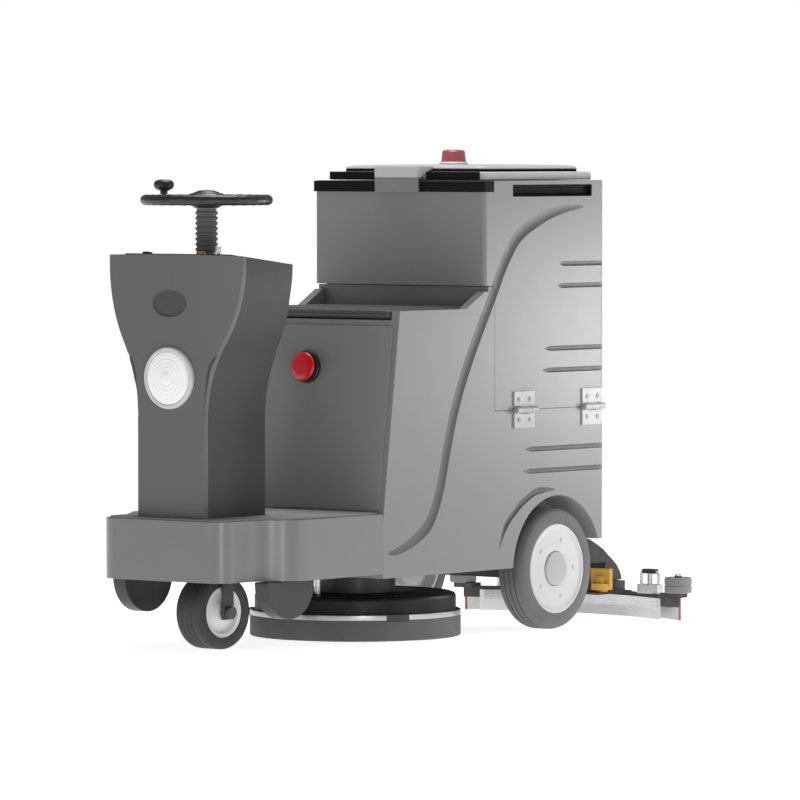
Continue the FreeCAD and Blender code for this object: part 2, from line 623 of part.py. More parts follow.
def estop_button():
    """Mushroom head that is pushed along the panel's normal."""
    slope = math.atan2(size("seat_front") - size("seat_foot"), size("seat_top") - size("seat_foot_z"))
    head = Part.makeCone(35, 31, 9, V(0, -21, STOP_ALONG), V(0, -1, 0))
    stalk = Part.makeCylinder(15, 15.4, V(0, -6.6, STOP_ALONG), V(0, -1, 0))
    place = FreeCAD.Placement(V(0, size("seat_foot"), size("seat_foot_z")),
                              FreeCAD.Rotation(V(1, 0, 0), -math.degrees(slope)))
    return keep(feature("estop", head.fuse(stalk).removeSplitter().transformed(place.toMatrix())),
                "estop_button")


def seat_cushion():
    """Thin pad let into the top of the seat box."""
    pad = box("pad_block", ("-pad_half", "pad_half"), ("seat_front - 5", "riser_y - 0.5"),
              ("pad_low", "pad_top"))
    return keep(fillet("pad", pad, 8, upright), "seat_cushion")


def filler_cap():
    """Screw cap of the water tank on the operator's right side."""
    profile = [(0, -30), (39.94, -30), (39.94, 0.5), (48, 0.5), (48, 10), (44, 14), (0, 14)]
    return keep(turned("cap_body", profile, ("-side_x", "neck_y", 600), "x", 180), "filler_cap")


def battery_pack():
    """Two batteries one behind the other in the bay's pit."""
    blocks = [box(f"battery_{i}", (-135, 135), (y, y + 173), ("tail_low + 8.05", 440))
              for i, y in enumerate((118, 296))]
    return keep(group("batteries", *blocks), "battery_pack")


def vacuum_motor():
    """Two-stage suction motor on the bay's floor."""
    profile = [(0, 345.05), (55, 345.05), (55, 420), (44, 424), (44, 510), (36, 520), (0, 520)]
    return keep(turned("fan_body", profile, (-200, 250, 0)), "vacuum_motor")


def hose_inlet():
    """Flanged stub on the back of the body that takes the suction hose."""
    profile = [(0, 550), (25.9, 550), (25.9, "tank_rear + 0.05"), (40, "tank_rear + 0.05"),
               (40, "tank_rear + 5"), (27, "tank_rear + 7"), (27, "inlet_end"), (0, "inlet_end")]
    part = turned("inlet_body", profile)
    part.Placement = FreeCAD.Placement(V(), FreeCAD.Rotation(V(1, 0, 0), -90))
    bind(part, "Placement.Base.z", "inlet_z")
    return keep(part, "hose_inlet")


# ---------------------------------------------------------------- side hinges

def hinge_leaves():
    """Two butt hinges on the operator's left: fixed leaves with the pins, and tank leaves."""
    lower, upper = [], []
    for name, middle in (("a", "hinge_a"), ("b", "hinge_b")):
        plate_x = ("side_x + 0.05", "side_x + leaf_t")
        knuckle_x = ("side_x + 0.5", "pin_x")
        span = (f"{middle} - leaf_half", f"{middle} + leaf_half")
        lower.append(box(f"lower_plate_{name}", plate_x, span, ("seam_z - 46", "seam_z - 10")))
        for end, (y0, y1) in enumerate(((f"{middle} - leaf_half", f"{middle} - 17"),
                                        (f"{middle} + 17", f"{middle} + leaf_half"))):
            lower.append(cylinder(f"lower_knuckle_{name}{end}", "knuckle_r", ("pin_x", y0, "seam_z"),
                                  f"{y1} - ({y0})", "y"))
            lower.append(box(f"lower_tongue_{name}{end}", ("side_x + 0.5", "side_x + leaf_t"), (y0, y1),
                             ("seam_z - 12", "seam_z")))
        lower.append(cylinder(f"hinge_pin_{name}", 4, ("pin_x", f"{middle} - leaf_half - 3", "seam_z"),
                              "2 * leaf_half + 6", "y"))
        plate = box(f"upper_plate_{name}", plate_x, span, ("seam_z + 10", "seam_z + 46"))
        tongue = box(f"upper_tongue_{name}", ("side_x + 0.5", "side_x + leaf_t"),
                     (f"{middle} - 16", f"{middle} + 16"),
                     ("seam_z", "seam_z + 12"))
        knuckle = cylinder(f"upper_knuckle_{name}", "knuckle_r", ("pin_x", f"{middle} - 16", "seam_z"), 32,
                           "y")
        bore = cylinder(f"upper_bore_{name}", "4 + run_fit", ("pin_x", f"{middle} - 20", "seam_z"), 40, "y")
        upper.append(cut(f"upper_leaf_{name}", fuse(f"upper_solid_{name}", plate, tongue, knuckle), bore))
    keep(fuse("lower_leaves", *lower), "hinge_lower_leaves")
    keep(group("upper_leaves", *upper), "hinge_upper_leaves")


def hinge_screws():
    """Round-headed screws, two in each leaf."""
    for label, level in (("hinge_screws_lower", "seam_z - 26"), ("hinge_screws_upper", "seam_z + 26")):
        heads = []
        for name, middle in (("a", "hinge_a"), ("b", "hinge_b")):
            for side, shift in (("front", -22), ("back", 22)):
                heads.append(cylinder(f"{label}_{name}_{side}", 6,
                                      ("side_x + leaf_t + 0.05", f"{middle} + {shift}", level),
                                      3, "x"))
        keep(group(label + "_set", *heads), label)


# ---------------------------------------------------------------- recovery tank and lid

def recovery_tank_shell():
    """Tipping tank with an open top, pierced for the grips on its sides."""
    outer = profiled("tank_outer", "YZ_Plane", [
        ("tank_front", "tank_low"), ("tank_front", "tank_top"), ("tank_rear", "tank_top"),
        ("tank_rear", "seam_z + gap_y"), ("seam_y + gap_y", "seam_z + gap_y"),
        ("seam_y + gap_y", "tank_low")],
        "2 * side_x")
    back = fillet("tank_back", outer, size("corner_r"),
                  lambda edge: upright(edge) and edge.Vertexes[0].Y > size("tank_rear") - 1)
    round_front = fillet("tank_round", back, size("edge_r"),
                         lambda edge: upright(edge) and edge.Vertexes[0].Y < size("tank_front") + 1)
    across = ("-side_x + wall_t", "side_x - wall_t")
    deep = rounded_room("tank", across, ("seam_y + gap_y + wall_t", "tank_rear - wall_t"),
                        ("seam_z + gap_y + wall_t", "tank_top - wall_t"), "wall_t")
    shelf = box("tank_shelf_room", across, ("tank_front + wall_t", "seam_y + 20"),
                ("tank_low + wall_t", "tank_top - wall_t"))
    mouth = box("tank_mouth", ("-side_x + rim_w", "side_x - rim_w"),
                ("tank_front + rim_w", "tank_rear - rim_w"),
                ("tank_top - 20", "tank_top + 5"))
    slots = box("grip_holes", ("-side_x - 5", "side_x + 5"), ("slot_front", "slot_rear"),
                ("slot_low", "slot_top"))
    ears = []
    for i, x in enumerate((60, -119.5)):
        ears.append(cylinder(f"lid_pin_{i}", 2.5, (x, "lid_pin_y", "lid_pin_z"), 59.5, "x"))
        for end, ear_x in enumerate((x, x + 50.5)):
            ears.append(cylinder(f"lid_ear_{i}_{end}", 5.5, (ear_x, "lid_pin_y", "lid_pin_z"), 9, "x"))
            ears.append(box(f"lid_ear_foot_{i}_{end}", (ear_x, ear_x + 9),
                            ("lid_pin_y - 5.5", "lid_pin_y + 5.5"),
                            ("tank_top - 2", "lid_pin_z")))
    hollow_tank = cut("tank_hollow", round_front, deep, shelf, mouth, slots)
    return keep(fuse("tank", hollow_tank, *ears), "recovery_tank_shell")


def tank_trims():
    """Black recessed grips in both sides and the black band across the front."""
    parts = []
    for side, sign in (("left", 1), ("right", -1)):
        outer = (f"side_x - slot_deep", "side_x - 0.5") if sign > 0 else ("-side_x + 0.5",
                                                                          "-side_x + slot_deep")
        room = (f"side_x - slot_deep + 2", "side_x + 1") if sign > 0 else ("-side_x - 1",
                                                                           "-side_x + slot_deep - 2")
        cup = box(f"grip_cup_{side}", outer, ("slot_front + 0.05", "slot_rear - 0.05"),
                  ("slot_low + 0.05", "slot_top - 0.05"))
        hollow = box(f"grip_room_{side}", room, ("slot_front + 3", "slot_rear - 3"),
                     ("slot_low + 3", "slot_top - 3"))
        parts.append(cut(f"grip_{side}", cup, hollow))
    band = box("band_block", ("-side_x - 2", "side_x + 2"), ("tank_front - 3", "tank_front + 36"),
               ("band_low", "tank_top - 1"))
    inner = box("band_inner", ("-side_x - 0.05", "side_x + 0.05"), ("tank_front - 0.05", "tank_front + 40"),
                ("band_low - 5", "tank_top + 5"))
    return keep(group("trims", *parts, cut("band", band, inner)), "tank_trims")


def lid_shell():
    """Stepped lid with a low dome, hollow underneath."""
    step = box("lid_step", ("-side_x + lid_inset", "side_x - lid_inset"),
               ("tank_front + lid_inset", "tank_rear - lid_inset"),
               ("lid_low", "lid_mid"))
    dome = box("lid_dome", ("-dome_half", "dome_half"), ("dome_front", "dome_rear"),
               ("lid_mid - 5", "lid_top"))
    rounded = fillet("lid_round", fuse("lid_solid", step, dome), 25, upright)
    low = box("lid_room", ("-side_x + lid_inset + 5", "side_x - lid_inset - 5"),
              ("tank_front + lid_inset + 5", "tank_rear - lid_inset - 5"), ("lid_low - 5", "lid_mid - 5"))
    high = box("lid_dome_room", ("-dome_half + 5", "dome_half - 5"), ("dome_front + 5", "dome_rear - 5"),
               ("lid_low - 5", "lid_top - 5"))
    knuckles = [piece for i, x in enumerate((70, -110)) for piece in (
        cylinder(f"lid_knuckle_{i}", 5.5, (x, "lid_pin_y", "lid_pin_z"), 40, "x"),
        box(f"lid_web_{i}", (x, x + 40), ("tank_rear - lid_inset - 2", "lid_pin_y"),
            ("lid_pin_z - 3", "lid_pin_z + 3")))]
    bores = [cylinder(f"lid_knuckle_bore_{i}", "2.5 + run_fit", (x - 5, "lid_pin_y", "lid_pin_z"), 50, "x")
             for i, x in enumerate((70, -110))]
    whole = fuse("lid_whole", cut("lid_cover", rounded, low, high), *knuckles)
    return keep(cut("lid", whole, *bores), "lid_shell")


def lid_front_trim():
    """Black strip across the front edge of the lid, in two lengths beside the latch plate."""
    strips = [box(f"lid_strip_{side}", span, ("tank_front + lid_inset - 4", "tank_front + lid_inset - 0.05"),
                  ("lid_low + 1", "lid_mid")) for side, span in
              (("left", (70, "side_x - lid_inset - 10")), ("right", ("-side_x + lid_inset + 10", -70)))]
    return keep(group("lid_strips", *strips), "lid_front_trim")


def lid_latch_plate():
    """Grey plate at the middle of the front edge: hooks over the rim and lifts the lid."""
    front = box("latch_front", (-68, 68), ("tank_front - 14", "tank_front - 4"), (1098, 1162))
    top = box("latch_top", (-68, 68), ("tank_front - 10", "dome_front - 0.05"), (1152, 1162))
    web = box("latch_web", (-60, 60), ("tank_front - 10", "tank_front + lid_inset - 0.05"),
              ("lid_low + 1", 1156))
    return keep(fuse("latch", front, top, web), "lid_latch_plate")


def beacon():
    """Red warning beacon on a pale base in the middle of the lid."""
    base = turned("beacon_base_body", [(0, "lid_top + 0.05"), (37, "lid_top + 0.05"), (37, "lid_top + 3"),
                                       (33, "lid_top + 7"), (0, "lid_top + 7")], (0, "beacon_y", 0))
    lens = turned("beacon_lens_body", [(0, "lid_top + 7.05"), (32, "lid_top + 7.05"), (30, "top_z - 4"),
                                       (25, "top_z"), (0, "top_z")], (0, "beacon_y", 0))
    keep(base, "beacon_base")
    keep(lens, "beacon_lens")


# ---------------------------------------------------------------- brush unit

def brush_unit():
    """Drum-shaped deck with its motor, skirt and lifting rod, and the disc brush that turns in it."""
    centre = (0, "brush_y", 0)
    deck = turned("deck_drum", [(14, "drum_top - 5"), ("drum_r - 5", "drum_top - 5"),
                                ("drum_r - 5", "drum_low"),
                                ("drum_r - 2", "drum_low - 8"), ("skirt_r", "drum_low - 8"),
                                ("skirt_r", "drum_low"),
                                ("drum_r", "drum_low + 2"), ("drum_r", "drum_top - 6"),
                                ("drum_r - 8", "drum_top"),
                                (14, "drum_top")], centre)
    keep(deck, "brush_deck_plate")
    motor = turned("motor_solid", [(12.05, "drum_top + 0.05"), ("motor_r", "drum_top + 0.05"),
                                   ("motor_r", 150),
                                   (72, 158), (72, 250), (62, 258), (0, 258), (0, 135), (12.05, 135)], centre)
    keep(motor, "brush_motor")
    skirt = turned("skirt_ring", [("skirt_r - 6", 3), ("skirt_r", 3), ("skirt_r", "drum_low - 8.05"),
                                  ("skirt_r - 6", "drum_low - 8.05")], centre)
    keep(skirt, "splash_skirt")
    rod = cylinder("lift_rod", "rod_r", (0, "brush_y + rod_dy", "drum_top + 0.05"), 155)
    keep(rod, "brush_actuator_rod")
    barrel = turned("barrel_body", [("rod_r + run_fit", 182), ("barrel_r", 182), ("barrel_r", 220.05),
                                    (34, 220.05),
                                    (34, 228), ("barrel_r", 228), ("barrel_r", 325), (0, 325), (0, 318),
                                    ("rod_r + run_fit", 318)], (0, "brush_y + rod_dy", 0))
    keep(barrel, "brush_actuator_barrel")
    block = turned("block_body", [(0, 48), (236, 48), (236, 60), (90, 66), (30, 70), (30, 90), (12, 92),
                                  (12, 130), (0, 130)], centre)
    keep(block, "brush_block")
    bristles = turned("bristle_body", [(110, 2), (240, 2), (232, 47.95), (114, 47.95)], centre)
    keep(bristles, "brush_bristles")


# ---------------------------------------------------------------- squeegee

def arc_radius():
    return (size("arc_half") ** 2 + size("arc_deep") ** 2) / (2 * size("arc_deep"))


def curved_bar(inner, outer, low, high, half_angle):
    """A bar that follows the squeegee's curve between two radii."""
    centre_y = size("arc_mid") - arc_radius()
    ring = Part.makeCylinder(outer, high - low, V(0, centre_y, low), UP, 2 * half_angle)
    ring = ring.cut(Part.makeCylinder(inner, high - low + 2, V(0, centre_y, low - 1)))
    ring.rotate(V(0, centre_y, 0), UP, 90 - half_angle)
    return ring


def squeegee_head():
    """Curved channel with the nozzle housing, bracket, blades and their clamps."""
    radius = arc_radius()
    half = math.degrees(math.asin(size("arc_half") / radius))
    inner = radius - size("channel_w")
    channel = curved_bar(inner, radius, 36, 64, half)
    neck = Part.makeCylinder(size("neck_r"), 70, V(0, size("swivel_y"), 60))
    housing = Part.makeBox(224, 68, 30, V(-112, 805, 60))
    housing = housing.makeFillet(20, [edge for edge in housing.Edges if upright(edge)])
    bracket = Part.makeBox(280, 66, 6, V(-140, size("clamp_y") - 30, 62))
    arms = [Part.makeBox(36, 110, 6, V(x, size("clamp_y"), 62)) for x in (-142, 106)]
    posts = [Part.makeCylinder(9, 56, V(sign * size("roller_x"), size("roller_y"), 60.5)) for sign in (-1, 1)]
    ends = [Part.makeBox(56, 44, 12, V(sign * (size("roller_x") - 14) - 28, size("roller_y") - 22, 60.5))
            for sign in (-1, 1)]
    shape = channel.fuse([neck, housing, bracket, *arms, *posts, *ends])
    keep(feature("head", shape.removeSplitter()), "squeegee_body")
    rear = curved_bar(radius + 0.05, radius + 4, 1, 60, half)
    front = curved_bar(inner - 4, inner - 0.05, 2, 56, half - 4)
    keep(feature("blades", Part.makeCompound([rear, front])), "squeegee_blades")
    straps = [curved_bar(radius + 4.05, radius + 6, 34, 60, half - 1),
              curved_bar(inner - 6, inner - 4.05, 30, 56, half - 5)]
    for sign in (-1, 1):
        x, y = sign * 226, squeegee_y(226) - 4
        stud = Part.makeCylinder(7, 64, V(x, y, 64.05))
        foot = Part.makeBox(64, 26, 24, V(x - 32, y - 13, 64.05))
        straps.append(stud.fuse(foot).removeSplitter())
    keep(feature("clamps", Part.makeCompound(straps)), "blade_clamps")


def squeegee_y(x):
    """Y of the middle of the channel at a given x."""
    radius = arc_radius()
    middle = radius - size("channel_w") / 2
    return size("arc_mid") - radius + math.sqrt(middle * middle - x * x)


def squeegee_rollers():
    for side, sign in (("left", ""), ("right", "-")):
        profile = [("9 + run_fit", 73), ("roller_r - 3", 73), ("roller_r", 77), ("roller_r", 109),
                   ("roller_r - 3", 113),
                   ("9 + run_fit", 113)]
        keep(turned(f"roller_{side}_body", profile, (f"{sign}roller_x", "roller_y", 0)),
             f"bumper_roller_{side}")


def clamp_knobs():
    """Two wing knobs that clamp the channel to its bracket."""
    for side, sign in (("left", 1), ("right", -1)):
        place = V(sign * size("clamp_x"), size("clamp_y"), 0)
        boss = Part.makeCylinder(16, 40, place + V(0, 0, 68.5))
        wings = Part.makeBox(2 * size("clamp_r") - 4, 14, 42, place + V(2 - size("clamp_r"), -7, 86))
        disc = Part.makeCylinder(size("clamp_r") - 4, 16, place + V(0, 0, 74))
        keep(feature(f"clamp_{side}", boss.fuse([wings, disc]).removeSplitter()), f"clamp_knob_{side}")


def squeegee_arm():
    """Suction hood over the nozzle's neck on a lifting beam, with the pivot pin."""
    beam = profiled("arm_beam", "YZ_Plane", [
        ("pivot_y - 14", "pivot_z - 12"), ("pivot_y - 14", "pivot_z + 12"), ("pivot_y + 16", "pivot_z + 12"),
        ("pivot_y + 56", "pivot_z - 20"), ("pivot_y + 84", "pivot_z - 40"), ("pivot_y + 106", "pivot_z - 49"),
        ("hose_y + 6", "pivot_z - 49"), ("hose_y + 6", 140), ("pivot_y + 90", 140),
        ("pivot_y + 10", "pivot_z - 12")], 40)
    pin = cylinder("arm_pin", "rod_r", (-60, "pivot_y", "pivot_z"), 120, "x")
    hood = profiled("arm_hood", "YZ_Plane", [
        ("hose_y", 140), ("hose_y", 210), (732, 203), (763, 189), (793, 174), (811, 160), (832, 146),
        (850, 132), (862, 118), (870, 104), (872, 92), (800, 92), (800, 140)], "2 * hood_half")
    bore = cylinder("arm_bore", "neck_r + run_fit", (0, "swivel_y", 80), 60)
    throat = cylinder("arm_throat", 18, (0, "hose_y - 5", "hose_z"), 100, "y")
    return keep(cut("arm", fuse("arm_solid", beam, pin, hood), bore, throat), "squeegee_arm")


def vacuum_hose():
    """Suction hose from the hood's front to the inlet on the body, in one S-bend."""
    inlet, hood = size("inlet_end") + 0.05, size("hose_y") - 0.05
    bend = [curve.toShape() for curve in s_curve((0, inlet), (size("inlet_z") - size("hose_z"), hood))]
    path = Part.Wire(bend)
    path.rotate(V(), V(0, 1, 0), 90)
    path.translate(V(0, 0, size("inlet_z")))
    section = Part.Wire(Part.makeCircle(size("hose_r"), V(0, inlet, size("inlet_z")), V(0, 1, 0)))
    return keep(feature("hose", path.makePipeShell([section], True, True)), "vacuum_hose")


# ---------------------------------------------------------------- build and write

def build():
    for step in (main_frame, rear_axle, rear_wheels, front_wheel, front_fork, front_axle, steering_column,
                 steering_wheel, spinner_knob, front_deck_shell, deck_mat, console_shells, dash_panel,
                 dash_controls, headlamp, accelerator_pedal, anti_tip_skids, lower_body_shell,
                 seat_front_panel, estop_button, seat_cushion, filler_cap, battery_pack, vacuum_motor,
                 hose_inlet,
                 hinge_leaves, hinge_screws, recovery_tank_shell, tank_trims, lid_shell, lid_front_trim,
                 lid_latch_plate, beacon, brush_unit, squeegee_head, squeegee_rollers, clamp_knobs,
                 squeegee_arm,
                 vacuum_hose):
        step()
    doc.recompute()


def write():
    failed = [obj.Name for obj in doc.Objects if {"Invalid", "Error"} & set(obj.State)]
    if failed:
        raise RuntimeError(f"objects failed: {failed}")
    os.makedirs("parts", exist_ok=True)
    for obj in finished:
        shape = obj.Shape
        if shape.isNull() or not shape.isValid() or not shape.Solids:
            raise RuntimeError(f"{obj.Label} has no valid shape")
        shape.exportStep(f"parts/{obj.Label}.step")
    print(len(finished), "sub-parts written")


build()
write()
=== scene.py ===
"""Looks of the ride-on scrubber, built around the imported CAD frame. Metres, +Z up, front towards -Y."""

import json
import math
import random

import bmesh
import bpy
from mathutils import Matrix, Vector


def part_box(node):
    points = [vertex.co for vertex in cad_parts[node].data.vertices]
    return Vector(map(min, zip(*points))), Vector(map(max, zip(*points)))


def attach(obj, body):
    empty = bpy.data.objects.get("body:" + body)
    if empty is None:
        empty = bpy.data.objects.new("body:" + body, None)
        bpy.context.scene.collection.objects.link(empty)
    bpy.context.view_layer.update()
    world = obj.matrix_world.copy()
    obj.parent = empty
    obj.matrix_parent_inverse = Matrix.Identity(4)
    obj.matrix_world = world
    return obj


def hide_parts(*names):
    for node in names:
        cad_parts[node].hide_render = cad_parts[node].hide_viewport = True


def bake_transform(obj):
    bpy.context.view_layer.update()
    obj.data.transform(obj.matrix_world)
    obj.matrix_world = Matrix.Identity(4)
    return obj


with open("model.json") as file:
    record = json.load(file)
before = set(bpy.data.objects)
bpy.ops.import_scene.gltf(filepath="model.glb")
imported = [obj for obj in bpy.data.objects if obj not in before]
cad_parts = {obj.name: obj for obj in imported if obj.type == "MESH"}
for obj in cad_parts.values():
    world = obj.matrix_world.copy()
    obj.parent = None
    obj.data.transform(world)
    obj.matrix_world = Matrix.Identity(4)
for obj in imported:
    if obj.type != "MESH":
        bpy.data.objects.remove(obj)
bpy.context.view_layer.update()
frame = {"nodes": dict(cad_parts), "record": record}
NODES = frame["nodes"]
BODY_OF = {n: b for b, ns in frame["record"]["behaviour"]["bodies"].items() for n in ns}
SLOT_OF = {p["node"]: p["material_slot"] for p in frame["record"]["subparts"]}
MATERIALS = {}


# ---------------------------------------------------------------- camera and light

LENS_MM = 297.0
CAMERA_PLACE = (10.1538, -12.9399, 1.2041)
CAMERA_HEADING = 38                    # degrees, anticlockwise from +Y
CAMERA_DROP = math.atan(250 / 6600)    # radians below level
AMBIENT = 0.22
FLOOR_HALF_WIDTH = 60
FLOOR_GLOW = 0.82


def look_at(obj, target):
    """Turn a light's -Z towards a point."""
    direction = Vector(target) - obj.location
    obj.rotation_euler = direction.to_track_quat("-Z", "Y").to_euler()


def make_camera():
    """A long lens off the front left corner, at about the height of the object's top."""
    data = bpy.data.cameras.new("camera")
    data.sensor_width = 36.0
    data.lens = LENS_MM
    data.clip_end = 100.0
    cam = bpy.data.objects.new("camera", data)
    cam.location = CAMERA_PLACE
    cam.rotation_euler = (math.radians(90) - CAMERA_DROP, 0, math.radians(CAMERA_HEADING))
    bpy.context.scene.collection.objects.link(cam)
    bpy.context.scene.camera = cam


def area_light(name, place, target, size, power):
    """A soft rectangular light that the camera doesn't see."""
    data = bpy.data.lights.new(name, "AREA")
    data.shape = "RECTANGLE"
    data.size, data.size_y = size
    data.energy = power
    light = bpy.data.objects.new(name, data)
    light.location = place
    look_at(light, target)
    light.visible_camera = False
    bpy.context.scene.collection.objects.link(light)


def make_world():
    """A white studio: the camera sees full white, the surfaces only a dim ambient and five lights."""
    scene = bpy.context.scene
    scene.view_settings.view_transform = "Standard"
    world = bpy.data.worlds.new("studio")
    scene.world = world
    world.use_nodes = True
    nodes, links = world.node_tree.nodes, world.node_tree.links
    nodes.clear()
    out = nodes.new("ShaderNodeOutputWorld")
    mix = nodes.new("ShaderNodeMixShader")
    path = nodes.new("ShaderNodeLightPath")
    ambient, seen = nodes.new("ShaderNodeBackground"), nodes.new("ShaderNodeBackground")
    ambient.inputs["Strength"].default_value = AMBIENT
    seen.inputs["Strength"].default_value = 1.0
    for background in (ambient, seen):
        background.inputs["Color"].default_value = (1, 1, 1, 1)
    links.new(path.outputs["Is Camera Ray"], mix.inputs[0])
    links.new(ambient.outputs[0], mix.inputs[1])
    links.new(seen.outputs[0], mix.inputs[2])
    links.new(mix.outputs[0], out.inputs[0])
    area_light("key_rear_left", (0.78, 1.15, 0.70), (0.20, 0.60, 0.70), (0.4, 0.5), 7)
    area_light("top_soft", (-0.2, 0.2, 3.4), (0.0, 0.2, 0.8), (1.6, 1.6), 60)
    area_light("side_fill", (5.0, 1.2, 1.0), (0.2, 0.0, 0.5), (2.0, 1.5), 20)
    area_light("front_fill", (-0.5, -5.0, 1.4), (0.0, -0.4, 0.6), (2.0, 1.5), 19)
    area_light("edge_strip", (3.36, -3.28, 0.45), (0.2, -0.8, 0.4), (0.5, 0.9), 16)


def make_floor():
    """A matt white ground that glows, so that only faint shadows show on it."""
    bm = bmesh.new()
    bmesh.ops.create_grid(bm, x_segments=1, y_segments=1, size=FLOOR_HALF_WIDTH)
    mesh = bpy.data.meshes.new("floor")
    bm.to_mesh(mesh)
    floor = bpy.data.objects.new("floor", mesh)
    bpy.context.scene.collection.objects.link(floor)
    mat = bpy.data.materials.new("floor")
    mat.use_nodes = True
    bsdf = mat.node_tree.nodes["Principled BSDF"]
    bsdf.inputs["Base Color"].default_value = (0.86, 0.86, 0.86, 1)
    bsdf.inputs["Roughness"].default_value = 0.9
    bsdf.inputs["Specular IOR Level"].default_value = 0.0
    bsdf.inputs["Emission Color"].default_value = (1, 1, 1, 1)
    bsdf.inputs["Emission Strength"].default_value = FLOOR_GLOW
    mesh.materials.append(mat)


# ---------------------------------------------------------------- materials

def shade(name, color, rough=0.5, metallic=0.0, grain=700.0, bump=0.12, mottle=0.06, dust=0.0, coat=0.0,
          coat_rough=0.15, specular=0.5, weave=None, emission=0.0, brushed=None, gloss_range=0.05):
    """A procedural finish: blotchy colour, fine grain, uneven gloss and dust near the floor."""
    mat = bpy.data.materials.new(name)
    mat.use_nodes = True
    nodes, links = mat.node_tree.nodes, mat.node_tree.links
    bsdf = nodes["Principled BSDF"]
    bsdf.inputs["Metallic"].default_value = metallic
    bsdf.inputs["Specular IOR Level"].default_value = specular
    bsdf.inputs["Coat Weight"].default_value = coat
    bsdf.inputs["Coat Roughness"].default_value = coat_rough
    if emission:
        bsdf.inputs["Emission Color"].default_value = (*color, 1)
        bsdf.inputs["Emission Strength"].default_value = emission
    coords = nodes.new("ShaderNodeTexCoord")

    def noise(scale, detail, stretch=None):
        """Noise in the object's own coordinates; stretch draws it out like brushing."""
        tex = nodes.new("ShaderNodeTexNoise")
        tex.inputs["Scale"].default_value = scale
        tex.inputs["Detail"].default_value = detail
        source = coords.outputs["Object"]
        if stretch:
            mapping = nodes.new("ShaderNodeMapping")
            mapping.inputs["Scale"].default_value = stretch
            links.new(source, mapping.inputs["Vector"])
            source = mapping.outputs["Vector"]
        links.new(source, tex.inputs["Vector"])
        return tex.outputs["Fac"]

    def ranged(value, low, high, from_low=0.3, from_high=0.7):
        """A value mapped from one range to another."""
        node = nodes.new("ShaderNodeMapRange")
        node.inputs["From Min"].default_value = from_low
        node.inputs["From Max"].default_value = from_high
        node.inputs["To Min"].default_value = low
        node.inputs["To Max"].default_value = high
        links.new(value, node.inputs["Value"])
        return node.outputs["Result"]

    def mixed(factor, first, second):
        """Two colours mixed; each input is a plain value or another node's output."""
        node = nodes.new("ShaderNodeMix")
        node.data_type = "RGBA"
        for socket, value in ((node.inputs[0], factor), (node.inputs[6], first), (node.inputs[7], second)):
            if isinstance(value, tuple):
                socket.default_value = (*value, 1)
            else:
                links.new(value, socket)
        return node.outputs[2]

    low = tuple(max(0.0, c * (1 - mottle)) for c in color)
    high = tuple(min(1.0, c * (1 + mottle)) for c in color)
    tone = mixed(ranged(noise(5.0, 5.0), 0.0, 1.0), low, high)
    if dust:
        height = nodes.new("ShaderNodeSeparateXYZ")
        links.new(coords.outputs["Object"], height.inputs[0])
        near_floor = ranged(height.outputs["Z"], dust, 0.0, 0.0, 0.45)
        patches = nodes.new("ShaderNodeMath")
        patches.operation = "MULTIPLY"
        links.new(near_floor, patches.inputs[0])
        links.new(ranged(noise(18.0, 6.0), 0.2, 1.0), patches.inputs[1])
        tone = mixed(patches.outputs[0], tone, (0.30, 0.29, 0.27))
    links.new(tone, bsdf.inputs["Base Color"])
    links.new(ranged(noise(30.0, 4.0, brushed), rough - gloss_range, rough + gloss_range),
              bsdf.inputs["Roughness"])
    relief = noise(grain, 2.0, brushed)
    if weave:
        cells = nodes.new("ShaderNodeTexVoronoi")
        cells.inputs["Scale"].default_value = weave
        links.new(coords.outputs["Object"], cells.inputs["Vector"])
        relief = cells.outputs["Distance"]
    bumper = nodes.new("ShaderNodeBump")
    bumper.inputs["Strength"].default_value = bump
    bumper.inputs["Distance"].default_value = 0.0006
    links.new(relief, bumper.inputs["Height"])
    links.new(bumper.outputs["Normal"], bsdf.inputs["Normal"])
    MATERIALS[name] = mat


